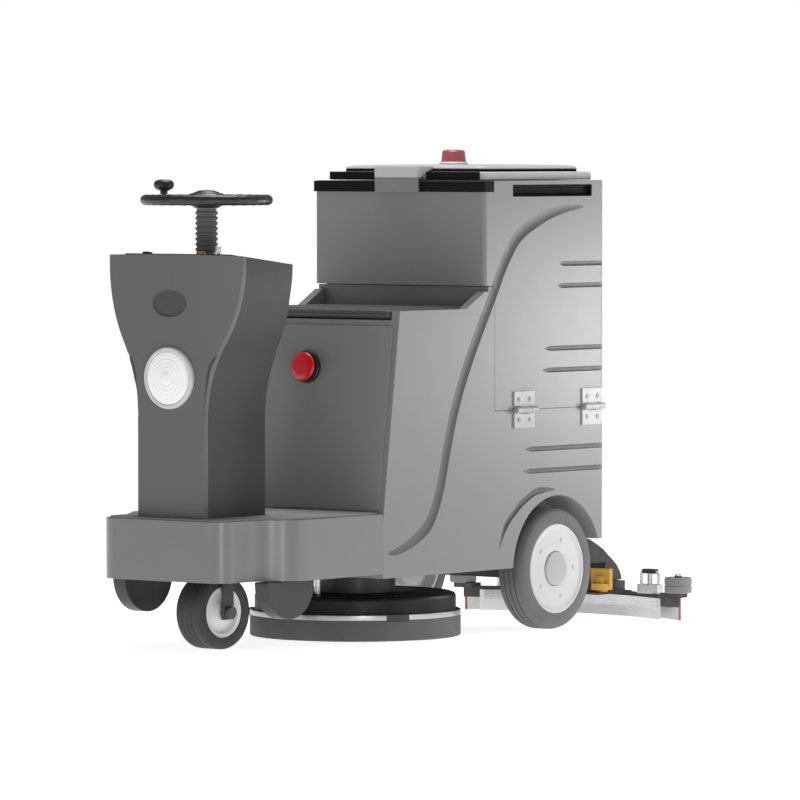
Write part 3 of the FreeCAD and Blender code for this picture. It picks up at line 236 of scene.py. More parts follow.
def make_materials():
    """Every finish, by name; most share their name with a material slot."""
    shade("grey_body", (0.235, 0.236, 0.238), rough=0.46, grain=850, bump=0.16, mottle=0.02, dust=0.10,
          gloss_range=0.015)
    # Partly the cover's own dark grey, partly painted shade: darkened further for the console's shaded side.
    shade("cover_dark_shaded", (0.032, 0.032, 0.034), rough=0.5, grain=850, bump=0.16, mottle=0.03, dust=0.06,
          gloss_range=0.02)
    # Painted shade: the body's grey plastic, darkened for the console, whose faces should take less light.
    shade("console_shaded", (0.115, 0.116, 0.118), rough=0.46, grain=850, bump=0.16, mottle=0.03, dust=0.06,
          gloss_range=0.02)
    # Painted shade: the body's grey plastic, darkened for the front deck; its coat is a real gloss.
    shade("deck_shaded", (0.150, 0.151, 0.153), rough=0.44, grain=850, bump=0.16, mottle=0.03, dust=0.10,
          gloss_range=0.02, coat=1.0, coat_rough=0.28)
    # Painted shade: a darker grey on the faces inside the grooves, where shade falls.
    shade("groove_painted_shade", (0.115, 0.115, 0.117), rough=0.6, grain=850, bump=0.16, mottle=0.05)
    # Painted shade: a darker grey on the faces of the console's pocket and creases.
    shade("recess_painted_shade", (0.062, 0.062, 0.063), rough=0.6, grain=850, bump=0.16, mottle=0.05)
    shade("dark_grey", (0.062, 0.062, 0.064), rough=0.5, grain=850, bump=0.18, mottle=0.05)
    shade("black_plastic", (0.022, 0.022, 0.023), rough=0.36, grain=900, bump=0.2, mottle=0.15, dust=0.05)
    # Painted sheen: black rubber made lighter to stand in for the highlights along the column.
    shade("column_sheen", (0.13, 0.13, 0.131), rough=0.5, grain=900, bump=0.2, mottle=0.12)
    shade("black_rubber", (0.095, 0.095, 0.096), rough=0.62, grain=500, bump=0.3, mottle=0.2, dust=0.06)
    shade("mat_rubber", (0.30, 0.30, 0.30), rough=0.62, grain=500, bump=0.3, mottle=0.15, dust=0.06)
    shade("pale_plastic", (0.64, 0.64, 0.635), rough=0.38, grain=900, bump=0.1, mottle=0.03)
    shade("hub_plastic", (0.62, 0.62, 0.615), rough=0.4, grain=900, bump=0.12, mottle=0.04, dust=0.10)
    # Painted light: the hub plastic made paler for the front hub, which sits in the deck's shadow.
    shade("hub_painted_light", (0.84, 0.84, 0.835), rough=0.4, grain=900, bump=0.12, mottle=0.06, dust=0.10)
    shade("hub_cap", (0.44, 0.44, 0.44), rough=0.42, grain=900, bump=0.12, mottle=0.05)
    shade("hinge_grey", (0.37, 0.37, 0.368), rough=0.42, grain=900, bump=0.12, mottle=0.06)
    shade("tyre", (0.135, 0.135, 0.136), rough=0.72, grain=420, bump=0.35, mottle=0.2, dust=0.16)
    shade("tyre_dark", (0.030, 0.030, 0.031), rough=0.6, grain=420, bump=0.35, mottle=0.2, dust=0.08)
    shade("roller_grey", (0.20, 0.20, 0.202), rough=0.6, grain=600, bump=0.25, mottle=0.1)
    shade("red_rubber", (0.42, 0.10, 0.09), rough=0.5, grain=600, bump=0.2, mottle=0.12)
    shade("pale_rubber", (0.74, 0.73, 0.71), rough=0.5, grain=600, bump=0.2, mottle=0.05)
    shade("seat_cover", (0.08, 0.08, 0.081), rough=0.42, weave=520, bump=0.35, mottle=0.15)
    shade("lamp_lens", (0.86, 0.86, 0.86), rough=0.22, grain=300, bump=0.05, mottle=0.02, coat=0.4,
          emission=0.10)
    shade("red_lens", (0.50, 0.09, 0.10), rough=0.2, grain=250, bump=0.1, mottle=0.25, coat=0.6)
    shade("red_plastic", (0.74, 0.006, 0.012), rough=0.34, grain=900, bump=0.08, mottle=0.06, coat=0.3)
    shade("yellow_plastic", (0.62, 0.34, 0.045), rough=0.4, grain=800, bump=0.12, mottle=0.12)
    shade("frame_paint", (0.045, 0.045, 0.046), rough=0.5, grain=500, bump=0.2, mottle=0.2, dust=0.12)
    shade("motor_paint", (0.06, 0.06, 0.062), rough=0.4, grain=500, bump=0.2, mottle=0.2, dust=0.08)
    shade("drum_metal", (0.012, 0.012, 0.013), rough=0.42, grain=300, bump=0.1, mottle=0.2, specular=0.25)
    shade("band_steel", (0.44, 0.44, 0.45), rough=0.34, metallic=1.0, grain=400, bump=0.08, mottle=0.1)
    shade("zinc", (0.66, 0.66, 0.67), rough=0.28, metallic=1.0, grain=400, bump=0.08, mottle=0.08,
          brushed=(1, 1, 14))
    shade("cast_alloy", (0.035, 0.034, 0.034), rough=0.5, metallic=0.2, grain=360, bump=0.3, mottle=0.2,
          dust=0.1)
    shade("battery_case", (0.03, 0.03, 0.034), rough=0.55, grain=500, bump=0.2, mottle=0.15)
    shade("bristle", (0.5, 0.5, 0.47), rough=0.6, grain=1400, bump=0.6, mottle=0.2, brushed=(1, 1, 0.05))
    shade("hose_black", (0.016, 0.016, 0.017), rough=0.36, grain=600, bump=0.15, mottle=0.2)
    shade("seal_black", (0.010, 0.010, 0.010), rough=0.7, grain=500, bump=0.2, mottle=0.1, specular=0.1)
    shade("lid_pale", (0.58, 0.58, 0.585), rough=0.42, grain=850, bump=0.14, mottle=0.03)


# ---------------------------------------------------------------- mesh helpers

SMOOTH_ANGLE = 32.0   # edges sharper than this, in degrees, stay sharp
BEVEL_ANGLE = 38.0    # CAD edges sharper than this, in degrees, are rounded
WELD = 1e-5           # vertices nearer than this, in metres, become one
FLAT_ANGLE = 0.5      # CAD edges flatter than this, in degrees, are dissolved
ON_AXIS = 1e-6        # radii below this, in metres, lie on the axis
CORNER_SHARE = 0.45   # the most of an edge that a rounded corner takes up


def mm(*values):
    """A point given in millimetres, in metres."""
    return Vector(values) / 1000.0


def new_object(name, mesh, material, body, replaces=()):
    """An object for a mesh, tied to its slot, to its body if any and to the CAD nodes it stands for."""
    obj = bpy.data.objects.new(name, mesh)
    bpy.context.scene.collection.objects.link(obj)
    mesh.materials.clear()
    mesh.materials.append(MATERIALS[material])
    if body:
        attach(obj, body)
    if replaces:
        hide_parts(*replaces)
    return obj


def finish_mesh(name, bm, angle):
    """A tidy mesh: outward faces, smooth where the surface is, sharp over the given angle."""
    bmesh.ops.recalc_face_normals(bm, faces=bm.faces)
    mesh = bpy.data.meshes.new(name)
    bm.to_mesh(mesh)
    bm.free()
    mesh.shade_smooth()
    mesh.set_sharp_from_angle(angle=math.radians(angle))
    return mesh


def part(name, bm, material, body, replaces=(), angle=SMOOTH_ANGLE):
    """A finished piece; one with no body is left unattached."""
    return new_object(name, finish_mesh(name, bm, angle), material, body, replaces)


def bridge(bm, first, second):
    """A band of faces between two closed loops of vertices."""
    count = len(first)
    for i in range(count):
        j = (i + 1) % count
        bm.faces.new((first[i], first[j], second[j], second[i]))


def loft(bm, rings):
    """Faces between closed rings of equal length, with a cap at each end."""
    loops = [[bm.verts.new(p) for p in ring] for ring in rings]
    for first, second in zip(loops, loops[1:]):
        bridge(bm, first, second)
    bm.faces.new(list(reversed(loops[0])))
    bm.faces.new(loops[-1])


def lathe(bm, profile, place=Matrix.Identity(4), segments=72):
    """Turn a closed (radius, height) outline about Z, then put it in place."""
    def ring(r, h):
        """The vertices of one turn, or a single one on the axis."""
        if r < ON_AXIS:
            return [bm.verts.new(place @ Vector((0, 0, h)))]
        turns = [2 * math.pi * i / segments for i in range(segments)]
        return [bm.verts.new(place @ Vector((r * math.cos(a), r * math.sin(a), h))) for a in turns]
    loops = [ring(r, h) for r, h in profile]
    for first, second in zip(loops, loops[1:] + loops[:1]):
        if len(first) == len(second) == 1:
            continue
        if len(first) > 1 and len(second) > 1:
            bridge(bm, first, second)
            continue
        for i in range(segments):
            j = (i + 1) % segments
            if len(first) == 1:
                bm.faces.new((first[0], second[j], second[i]))
            else:
                bm.faces.new((first[i], first[j], second[0]))


def rounded_profile(points, radius, steps=4):
    """Round the corners of a (radius, height) outline, leaving points on the axis alone."""
    result = []
    count = len(points)
    for i, point in enumerate(points):
        corner = Vector(point)
        before, after = Vector(points[i - 1]), Vector(points[(i + 1) % count])
        enter, leave = before - corner, after - corner
        trim = min(radius, CORNER_SHARE * enter.length, CORNER_SHARE * leave.length)
        if corner.x < ON_AXIS or trim < ON_AXIS:
            result.append(tuple(corner))
            continue
        start, end = corner + enter.normalized() * trim, corner + leave.normalized() * trim
        for k in range(steps + 1):
            t = k / steps
            result.append(tuple(start.lerp(corner, t).lerp(corner.lerp(end, t), t)))
    return result


def turned(name, profile, place, material, body, replaces=(), radius=0.0, segments=96,
           angle=SMOOTH_ANGLE):
    """A finished piece turned about an axis; radius rounds the corners of its outline."""
    bm = bmesh.new()
    outline = rounded_profile(profile, radius) if radius else profile
    lathe(bm, outline, place, segments)
    return part(name, bm, material, body, replaces, angle)


def at(x, y, z, axis="z", spin=0.0):
    """A frame at a point in mm whose Z runs along the named axis, then turned about the world's Z."""
    lay = {"z": Matrix.Identity(4), "x": Matrix.Rotation(math.pi / 2, 4, "Y"),
           "-x": Matrix.Rotation(-math.pi / 2, 4, "Y"),
           "-y": Matrix.Rotation(math.pi / 2, 4, "X"), "y": Matrix.Rotation(-math.pi / 2, 4, "X")}[axis]
    return Matrix.Translation(mm(x, y, z)) @ Matrix.Rotation(math.radians(spin), 4, "Z") @ lay


def smooth_path(points, per_span=6):
    """Catmull-Rom points through the given ones."""
    pts = [Vector(p) for p in points]
    pts = [2 * pts[0] - pts[1]] + pts + [2 * pts[-1] - pts[-2]]
    result = []
    for a, b, c, d in zip(pts, pts[1:], pts[2:], pts[3:]):
        for k in range(per_span):
            t = k / per_span
            result.append(0.5 * ((2 * b) + (c - a) * t + (2 * a - 5 * b + 4 * c - d) * t * t
                                 + (3 * b - a - 3 * c + d) * t ** 3))
    result.append(pts[-2])
    return result


def tube(bm, path, radii, sides=16, closed=False):
    """A round bar along a path, with one radius or a radius at every point."""
    count = len(path)
    radii = radii if isinstance(radii, (list, tuple)) else [radii] * count
    rings = []
    normal = None
    for i, point in enumerate(path):
        before = path[i - 1] if i or closed else point
        after = path[(i + 1) % count] if i < count - 1 or closed else point
        tangent = (after - before).normalized()
        if normal is None:
            normal = tangent.orthogonal().normalized()
        normal = (normal - tangent * normal.dot(tangent)).normalized()
        side = tangent.cross(normal)
        rings.append([point + (normal * math.cos(a) + side * math.sin(a)) * radii[i]
                      for a in (2 * math.pi * k / sides for k in range(sides))])
    if closed:
        loops = [[bm.verts.new(p) for p in ring] for ring in rings]
        for i, loop in enumerate(loops):
            bridge(bm, loop, loops[(i + 1) % count])
    else:
        loft(bm, rings)


def rounded_rectangle(half_x, y0, y1, radius, z, steps=6):
    """Points of a rounded rectangle in plan, in mm, as vectors in metres."""
    corners = ((half_x - radius, y0 + radius, -90), (half_x - radius, y1 - radius, 0),
               (-half_x + radius, y1 - radius, 90), (-half_x + radius, y0 + radius, 180))
    return [mm(cx + radius * math.cos(math.radians(start + 90 * k / steps)),
               cy + radius * math.sin(math.radians(start + 90 * k / steps)), z)
            for cx, cy, start in corners for k in range(steps + 1)]


def applied(obj):
    """The object's mesh with its modifiers applied."""
    graph = bpy.context.evaluated_depsgraph_get()
    graph.update()
    mesh = bpy.data.meshes.new_from_object(obj.evaluated_get(graph))
    obj.modifiers.clear()
    return mesh


def soften(node, width, segments, cutters=(), material=None):
    """A detailed stand-in for a CAD node: its shape with rounded edges, less the cutters."""
    slot = SLOT_OF[node]
    mesh = NODES[node].data.copy()
    mesh.materials.clear()
    mesh.materials.append(MATERIALS[material or slot])
    bm = bmesh.new()
    bm.from_mesh(mesh)
    bmesh.ops.remove_doubles(bm, verts=bm.verts, dist=WELD)
    bmesh.ops.dissolve_limit(bm, angle_limit=math.radians(FLAT_ANGLE), verts=bm.verts, edges=bm.edges)
    bm.to_mesh(mesh)
    bm.free()
    obj = bpy.data.objects.new(node + "_skin", mesh)
    bpy.context.scene.collection.objects.link(obj)
    bevel = obj.modifiers.new("round", "BEVEL")
    bevel.width = width / 1000.0
    bevel.segments = segments
    bevel.limit_method = "ANGLE"
    bevel.angle_limit = math.radians(BEVEL_ANGLE)
    bevel.use_clamp_overlap = True
    bevel.miter_outer = "MITER_ARC"
    for tool in cutters:
        boolean = obj.modifiers.new("groove", "BOOLEAN")
        boolean.operation = "DIFFERENCE"
        boolean.solver = "EXACT"
        boolean.material_mode = "TRANSFER"
        boolean.object = tool
    obj.data = applied(obj)
    obj.data.shade_smooth()
    obj.data.set_sharp_from_angle(angle=math.radians(SMOOTH_ANGLE))
    flat = obj.modifiers.new("flat_faces", "WEIGHTED_NORMAL")
    flat.keep_sharp = True
    flat.weight = 100
    obj.data = applied(obj)
    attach(obj, BODY_OF[node])
    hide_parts(node)
    return obj


def cutter(name, bm, material="groove_painted_shade"):
    """A shape to cut away; the faces that it leaves take its material, by default the grooves' painted shade.
    """
    mesh = bpy.data.meshes.new(name)
    bmesh.ops.recalc_face_normals(bm, faces=bm.faces)
    bm.to_mesh(mesh)
    bm.free()
    mesh.materials.append(MATERIALS[material])
    obj = bpy.data.objects.new(name, mesh)
    bpy.context.scene.collection.objects.link(obj)
    return obj


def discard(objects):
    """Remove the cutters once their cuts are made."""
    for obj in objects:
        bpy.data.objects.remove(obj)


# ---------------------------------------------------------------- shells

SIDE_X = 269.0
GROOVE_END_Y = 556
OVAL_Z = 838
BEACON_Y = 276
S_CURVE = [(462, 1062), (385, 1056), (301, 1037), (197, 993), (135, 926), (86, 845), (33, 760),
           (-24, 662), (-69, 565), (-101, 467), (-129, 370), (-169, 293), (-229, 252), (-296, 228),
           (-335, 223)]
CREASE = [(192, -820, 738), (174, -823.8, 731), (156, -827, 722), (138, -830, 711), (124, -832.2, 696),
          (116, -833.4, 676), (112, -834, 650), (109, -834.3, 610), (106, -834.7, 566)]
ARCH_LIP = [(113, 215), (132, 257), (153, 284), (178, 303), (207, 324), (260, 348), (302, 353), (344, 353)]


def side_groove(points, radius, offset, fade):
    """Tubes that cut one shallow groove into both sides of the shell, fading out at their ends."""
    made = []
    for side in (1, -1):
        path = smooth_path([mm(side * (SIDE_X + offset), y, z) for y, z in points], 8)
        count = len(path)
        radii = []
        for i in range(count):
            near = min(i, count - 1 - i)
            ease = min(1.0, (near + 0.5) / (fade * 2))
            radii.append((offset + (radius - offset) * ease) / 1000.0)
        bm = bmesh.new()
        tube(bm, path, radii, 48)
        made.append(cutter("groove", bm))
    return made


def line_grooves(fronts):
    """Narrow straight grooves along both sides, from each front point (y, z) in mm to the rear."""
    made = []
    for y, z in fronts:
        for side in (1, -1):
            bm = bmesh.new()
            path = [mm(side * (SIDE_X + 2.0), y + (GROOVE_END_Y - y) * t / 12, z) for t in range(13)]
            tube(bm, path, [0.0026 if i == 0 else 0.0066 for i in range(13)], 14)
            made.append(cutter("groove", bm))
    return made


def console_recess():
    """A shallow oval pocket in the console's front."""
    bm = bmesh.new()
    rings = []
    for half_x, half_z, y in ((50, 29.5, -837.4), (53, 32.5, -839.2), (56, 35.5, -850)):
        rings.append([mm(half_x * math.cos(a), y, OVAL_Z + half_z * math.sin(a))
                      for a in (2 * math.pi * k / 64 for k in range(64))])
    loft(bm, rings)
    # The pocket's faces take painted shade.
    return cutter("oval", bm, "recess_painted_shade")


def console_creases():
    """Curved creases where the console's stem runs into its ears."""
    made = []
    for side in (1, -1):
        path = smooth_path([mm(side * x, y - 2.2, z) for x, y, z in CREASE], 8)
        bm = bmesh.new()
        tube(bm, path, 0.0046, 16)
        # The creases' faces take painted shade.
        made.append(cutter("crease", bm, "recess_painted_shade"))
    return made


def make_shells():
    """Casings with the grooves, creases and pocket that are pressed into them."""
    # The faces inside these grooves take painted shade.
    curve = side_groove(S_CURVE, 30.0, 25.2, 12)
    tank_lines = line_grooves([(364, 919), (356, 864), (301, 707), (293, 653)])
    body_lines = line_grooves([(218, 457), (210, 402)])
    arch = side_groove(ARCH_LIP, 9.0, 3.5, 6)
    soften("recovery_tank_shell", 4.0, 3, curve + tank_lines)
    soften("lower_body_shell", 4.0, 3, curve + body_lines + arch)
    recesses = [console_recess()] + console_creases()
    # The deck takes the darkened grey: painted shade.
    soften("front_deck_shell", 5.0, 4, material="deck_shaded")
    # The console's front takes the darkened grey: painted shade.
    soften("console_front_shell", 2.5, 4, recesses, material="console_shaded")
    # The cover's dark grey is made darker still: painted shade on the console's side.
    soften("console_rear_cover", 2.5, 4, material="cover_dark_shaded")
    soften("seat_front_panel", 1.5, 3)
    discard(curve + tank_lines + body_lines + arch + recesses)


def make_lid():
    """Stepped lid with a seal line under a crowned dome."""
    bm = bmesh.new()
    x, y0, y1 = 247, 75, 542
    rings = [(x - 6, y0 + 6, y1 - 6, 20, 1131), (x - 3, y0 + 3, y1 - 3, 22, 1129.3),
             (x, y0, y1, 25, 1132), (x, y0, y1, 25, 1144), (x - 1.5, y0 + 1.5, y1 - 1.5, 24, 1147.5),
             (x - 6, y0 + 6, y1 - 6, 22, 1149.6), (226, 98, 519, 22, 1150), (224, 100, 517, 22, 1150.2)]
    loft(bm, [rounded_rectangle(*ring) for ring in rings])
    part("lid_step", bm, "lid_pale", "lid", ("lid_shell",))
    bm = bmesh.new()
    rings = [(221, 103, 514, 22, 1150.3), (221, 103, 514, 22, 1156.5)]
    loft(bm, [rounded_rectangle(*ring) for ring in rings])
    part("lid_seal", bm, "seal_black", "lid")
    bm = bmesh.new()
    rings = [(219, 106, 511, 22, 1156.6), (222, 103, 514, 24, 1157.6), (222, 103, 514, 24, 1160),
             (219, 106, 511, 24, 1163.2), (205, 120, 497, 30, 1165.6), (170, 150, 467, 40, 1167.2),
             (110, 200, 417, 50, 1168), (50, 255, 362, 25, 1168)]
    loft(bm, [rounded_rectangle(*ring) for ring in rings])
    part("lid_dome", bm, "lid_pale", "lid")
    for side, start in (("left", 70), ("right", -110)):
        bm = bmesh.new()
        lathe(bm, [(0.0026, 0), (0.0050, 0), (0.0055, 0.0006), (0.0055, 0.0394), (0.0050, 0.04),
                   (0.0026, 0.04)],
              at(start, 550, 1136, "x"), 24)
        web = ((539, 1133), (546, 1133), (546, 1139), (539, 1139))
        loft(bm, [[mm(start + 20 + dx, y, z) for y, z in web] for dx in (-19.9, 19.9)])
        part(f"lid_knuckle_{side}", bm, "grey_body", "lid")
    soften("lid_front_trim", 1.2, 2, material="seal_black")
    soften("lid_latch_plate", 3.0, 3, material="grey_body")
    bm = bmesh.new()
    rings = [(67, 38.6, 60, 5, 1136), (68.6, 37.6, 60, 5, 1138), (68.6, 37.6, 104, 5, 1161.0),
             (68.0, 38.2, 104, 5, 1163.2), (65, 41, 101, 4, 1164)]
    loft(bm, [rounded_rectangle(*ring) for ring in rings])
    part("latch_top_cover", bm, "lid_pale", "lid")
    base = at(0, BEACON_Y, 0)
    foot = [(0, 1.16805), (0.037, 1.16805), (0.037, 1.1710), (0.033, 1.1750), (0, 1.1750)]
    turned("beacon_base_ring", foot, base, "pale_plastic", "lid", ("beacon_base",),
           radius=0.0008)
    ribs = [(0, 1.17505), (0.0318, 1.17505), (0.0318, 1.1765)]
    for k in range(6):
        z = 1.1775 + k * 0.0036
        ribs += [(0.0312 - k * 0.0003, z), (0.0303 - k * 0.0003, z + 0.0018)]
    ribs += [(0.0285, 1.2005), (0.0250, 1.2035), (0.0180, 1.2046), (0.0080, 1.2050), (0, 1.2050)]
    turned("beacon_dome", ribs, base, "red_lens", "lid", ("beacon_lens",))


def make_grips():
    """The grip trims on the tank."""
    soften("tank_trims", 0.8, 2, material="seal_black")


# ---------------------------------------------------------------- wheels

FRONT_STEER = -5.0               # degrees by which the front wheel is turned at rest
REAR_WHEEL = (229, 355, 152.5)   # centre of the left one in mm
FRONT_WHEEL_Z = 90


def make_wheels():
    """Rear wheels with grooved tyres, dished rims, caps and bolts, and the small steered wheel."""
    wheel_x, wheel_y, wheel_z = REAR_WHEEL
    half, outer, rim = 0.040, 0.1525, 0.113
    profile = [(rim, -half + 0.0015), (0.118, -half), (0.136, -half + 0.0002), (0.138, -half + 0.0016),
               (0.1405, -half + 0.0016), (0.1445, -half + 0.004), (0.1500, -half + 0.010),
               (0.1519, -half + 0.017)]
    for centre in (-0.015, 0.0, 0.015):
        profile += [(outer, centre - 0.0032), (outer - 0.0002, centre - 0.0022),
                    (outer - 0.0035, centre - 0.0014), (outer - 0.0035, centre + 0.0014),
                    (outer - 0.0002, centre + 0.0022), (outer, centre + 0.0032)]
    profile += [(r, -h) for r, h in reversed(profile[:8])]
    for side, sign, axis in (("left", 1, "x"), ("right", -1, "-x")):
        place = at(sign * wheel_x, wheel_y, wheel_z, axis)
        body = f"rear_wheel_{side}"
        turned(f"rear_tyre_{side}_tread", profile, place, "tyre", body, (f"rear_tyre_{side}",),
               angle=50)
        disc = [(0.01505, -0.039), (0.060, -0.039), (0.060, -0.010), (0.100, -0.010), (0.104, -0.038),
                (0.1128, -0.0385), (0.1128, 0.0375), (0.1100, 0.0390), (0.1060, 0.0385), (0.1035, 0.0355),
                (0.0960, 0.0335), (0.0600, 0.0345), (0.0500, 0.0340), (0.0470, 0.0330), (0.0440, 0.0330),
                (0.0440, 0.0275), (0.01505, 0.0275)]
        turned(f"rear_rim_{side}_disc", rounded_profile(disc, 0.0015, 3), place, "hub_plastic", body,
               (f"rear_rim_{side}",))
        cap = [(0, 0.0276), (0.0428, 0.0276), (0.0428, 0.0350), (0.0410, 0.0372), (0.0330, 0.0390),
               (0.0300, 0.0384), (0.0270, 0.0390), (0.0120, 0.0397), (0, 0.0399)]
        turned(f"rear_hub_cap_{side}", cap, place, "hub_cap", body)
        bm = bmesh.new()
        for k in range(5):
            angle = 2 * math.pi * k / 5 + 0.3
            spot = place @ Matrix.Translation((0.074 * math.cos(angle), 0.074 * math.sin(angle), 0.0338))
            lathe(bm, [(0, 0), (0.0052, 0), (0.0052, 0.0018), (0.0040, 0.0030), (0, 0.0030)], spot, 18)
        part(f"rear_rim_bolts_{side}", bm, "hub_plastic", body)
    low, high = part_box("front_tyre")
    middle = (low + high) * 500
    place = at(middle.x, middle.y, FRONT_WHEEL_Z, "x", FRONT_STEER)
    half = 0.040
    tyre = [(0.0622, -half + 0.001), (0.070, -half), (0.080, -half + 0.0002), (0.0875, -half + 0.0025),
            (0.0896, -half + 0.007)]
    for centre in (-0.014, 0.0, 0.014):
        tyre += [(0.0900, centre - 0.003), (0.0880, centre - 0.0012), (0.0880, centre + 0.0012),
                 (0.0900, centre + 0.003)]
    tyre += [(r, -h) for r, h in reversed(tyre[:5])]
    turned("front_tyre_tread", tyre, place, "tyre_dark", "front_wheel", ("front_tyre",), angle=50)
    # The front hub takes the paler copy of the hub plastic: painted light.
    soften("front_wheel_hub", 1.6, 3, material="hub_painted_light")
    soften("front_axle", 1.5, 2, material="motor_paint")


# ---------------------------------------------------------------- steering

STEERING_Y = -700
GRIP_RADIUS = 147
GRIP_Z = 1084
SPINNER_X, SPINNER_BACK = -146.3, 14.4


def make_steering():
    """Ribbed column, hand wheel with three spokes and a hub, spinner knob and fork."""
    y = STEERING_Y
    profile = [(0, 0.3335), (0.037, 0.3335), (0.037, 0.346), (0.025, 0.346), (0.025, 0.958)]
    for k in range(8):
        z = 0.960 + 0.0125 * k
        profile += [(0.0235, z), (0.0275, z + 0.0035), (0.0275, z + 0.0065), (0.0235, z + 0.0100)]
    profile += [(0.0245, 1.0635), (0, 1.0635)]
    # The bellows take the lightened rubber: painted sheen.
    turned("column_bellows", rounded_profile(profile, 0.0012, 2), at(0, y, 0), "column_sheen", "steering",
           ("steering_column",), segments=64)
    bm = bmesh.new()
    ring = [mm(GRIP_RADIUS * math.cos(a), y + GRIP_RADIUS * math.sin(a), GRIP_Z)
            for a in (2 * math.pi * k / 120 for k in range(120))]
    knuckles = [0.01255 + 0.00045 * math.cos(k * 2 * math.pi / 4) for k in range(120)]
    tube(bm, ring, knuckles, 24, closed=True)
    for k in range(3):
        angle = math.radians(90 + 120 * k)
        out = Vector((math.cos(angle), math.sin(angle), 0))
        side = Vector((-math.sin(angle), math.cos(angle), 0))
        stations = [(44, 17, 1090, 4.5), (62, 15, 1088, 4.5), (90, 12.5, 1083.5, 4.2),
                    (118, 12, 1082, 4.0), (143, 14.5, 1083.5, 4.6)]
        rings = []
        for reach, wide, high, thick in stations:
            middle = mm(0, y, high) + out * reach / 1000.0
            section = []
            for j in range(20):
                turn = 2 * math.pi * j / 20
                c, s = math.cos(turn), math.sin(turn)
                section.append(middle + side * wide / 1000 * math.copysign(abs(c) ** 0.6, c)
                               + Vector((0, 0, thick / 1000)) * math.copysign(abs(s) ** 0.8, s))
            rings.append(section)
        loft(bm, rings)
    hub = [(0, 1.0641), (0.028, 1.0641), (0.034, 1.0680), (0.056, 1.0790), (0.058, 1.0835),
           (0.056, 1.0885), (0.044, 1.0965), (0.041, 1.0985), (0.034, 1.1010), (0.032, 1.1000),
           (0.030, 1.1025), (0.018, 1.1070), (0, 1.1080)]
    lathe(bm, hub, at(0, y, 0), 72)
    part("hand_wheel", bm, "black_plastic", "steering", ("steering_wheel",), 40)
    knob = [(0, 1.0860), (0.0049, 1.0860), (0.0049, 1.0976), (0.009, 1.0976), (0.009, 1.1050),
            (0.0150, 1.1070), (0.0225, 1.1120), (0.0248, 1.1185), (0.0240, 1.1255), (0.0190, 1.1305),
            (0.0110, 1.1326), (0, 1.1330)]
    turned("spinner_ball", knob, at(SPINNER_X, y + SPINNER_BACK, 0), "black_plastic", "spinner",
           ("spinner_knob",), segments=48, angle=60)
    soften("front_fork", 2.0, 3)


# ---------------------------------------------------------------- console details

CONSOLE_FRONT_Y = -837
LAMP_Z = 659


def make_console():
    """Headlamp, dash parts, pedal and deck mat."""
    place = at(0, CONSOLE_FRONT_Y, LAMP_Z, "-y")
    ring = [(0.0562, 0.0001), (0.0749, 0.0001), (0.0749, 0.0070), (0.0735, 0.0100), (0.0712, 0.0118),
            (0.0662, 0.0119), (0.0645, 0.0108), (0.0643, 0.0052), (0.0562, 0.0052)]
    turned("lamp_ring", ring, place, "hub_plastic", "chassis", ("headlamp_bezel",))
    lens = [(0, 0.0053), (0.0636, 0.0053), (0.0638, 0.0098), (0.0620, 0.0112)]
    for k in range(5):
        r = 0.058 - 0.010 * k
        z = 0.0125 + 0.0048 * (1 - (r / 0.062) ** 2)
        lens += [(r + 0.0016, z - 0.0003), (r, z - 0.0008), (r - 0.0016, z - 0.0001)]
    lens += [(0.008, 0.0176), (0, 0.0178)]
    turned("lamp_lens_face", lens, place, "lamp_lens", "chassis", ("headlamp_lens",), angle=50)
    soften("dash_panel", 1.0, 2)
    soften("ignition_key", 0.8, 2)
    soften("direction_switch", 1.2, 2)
    soften("horn_button", 1.0, 2)
    soften("accelerator_pedal", 1.5, 2)
    soften("deck_mat", 1.5, 2, material="mat_rubber")


SEAT_INSET = 0.004      # metres, as are the seat's other sizes
SEAT_VOXEL = 0.006
SEAT_PUFF = 0.006       # the farthest that a point swells
SEAT_MARGIN = 0.0005    # kept inside the CAD pad
SETTLE_FRAMES = 20
SEAM_X = 0.115
SEAM_HALF_WIDTH = 0.012
SEAM_DEPTH = 0.0035


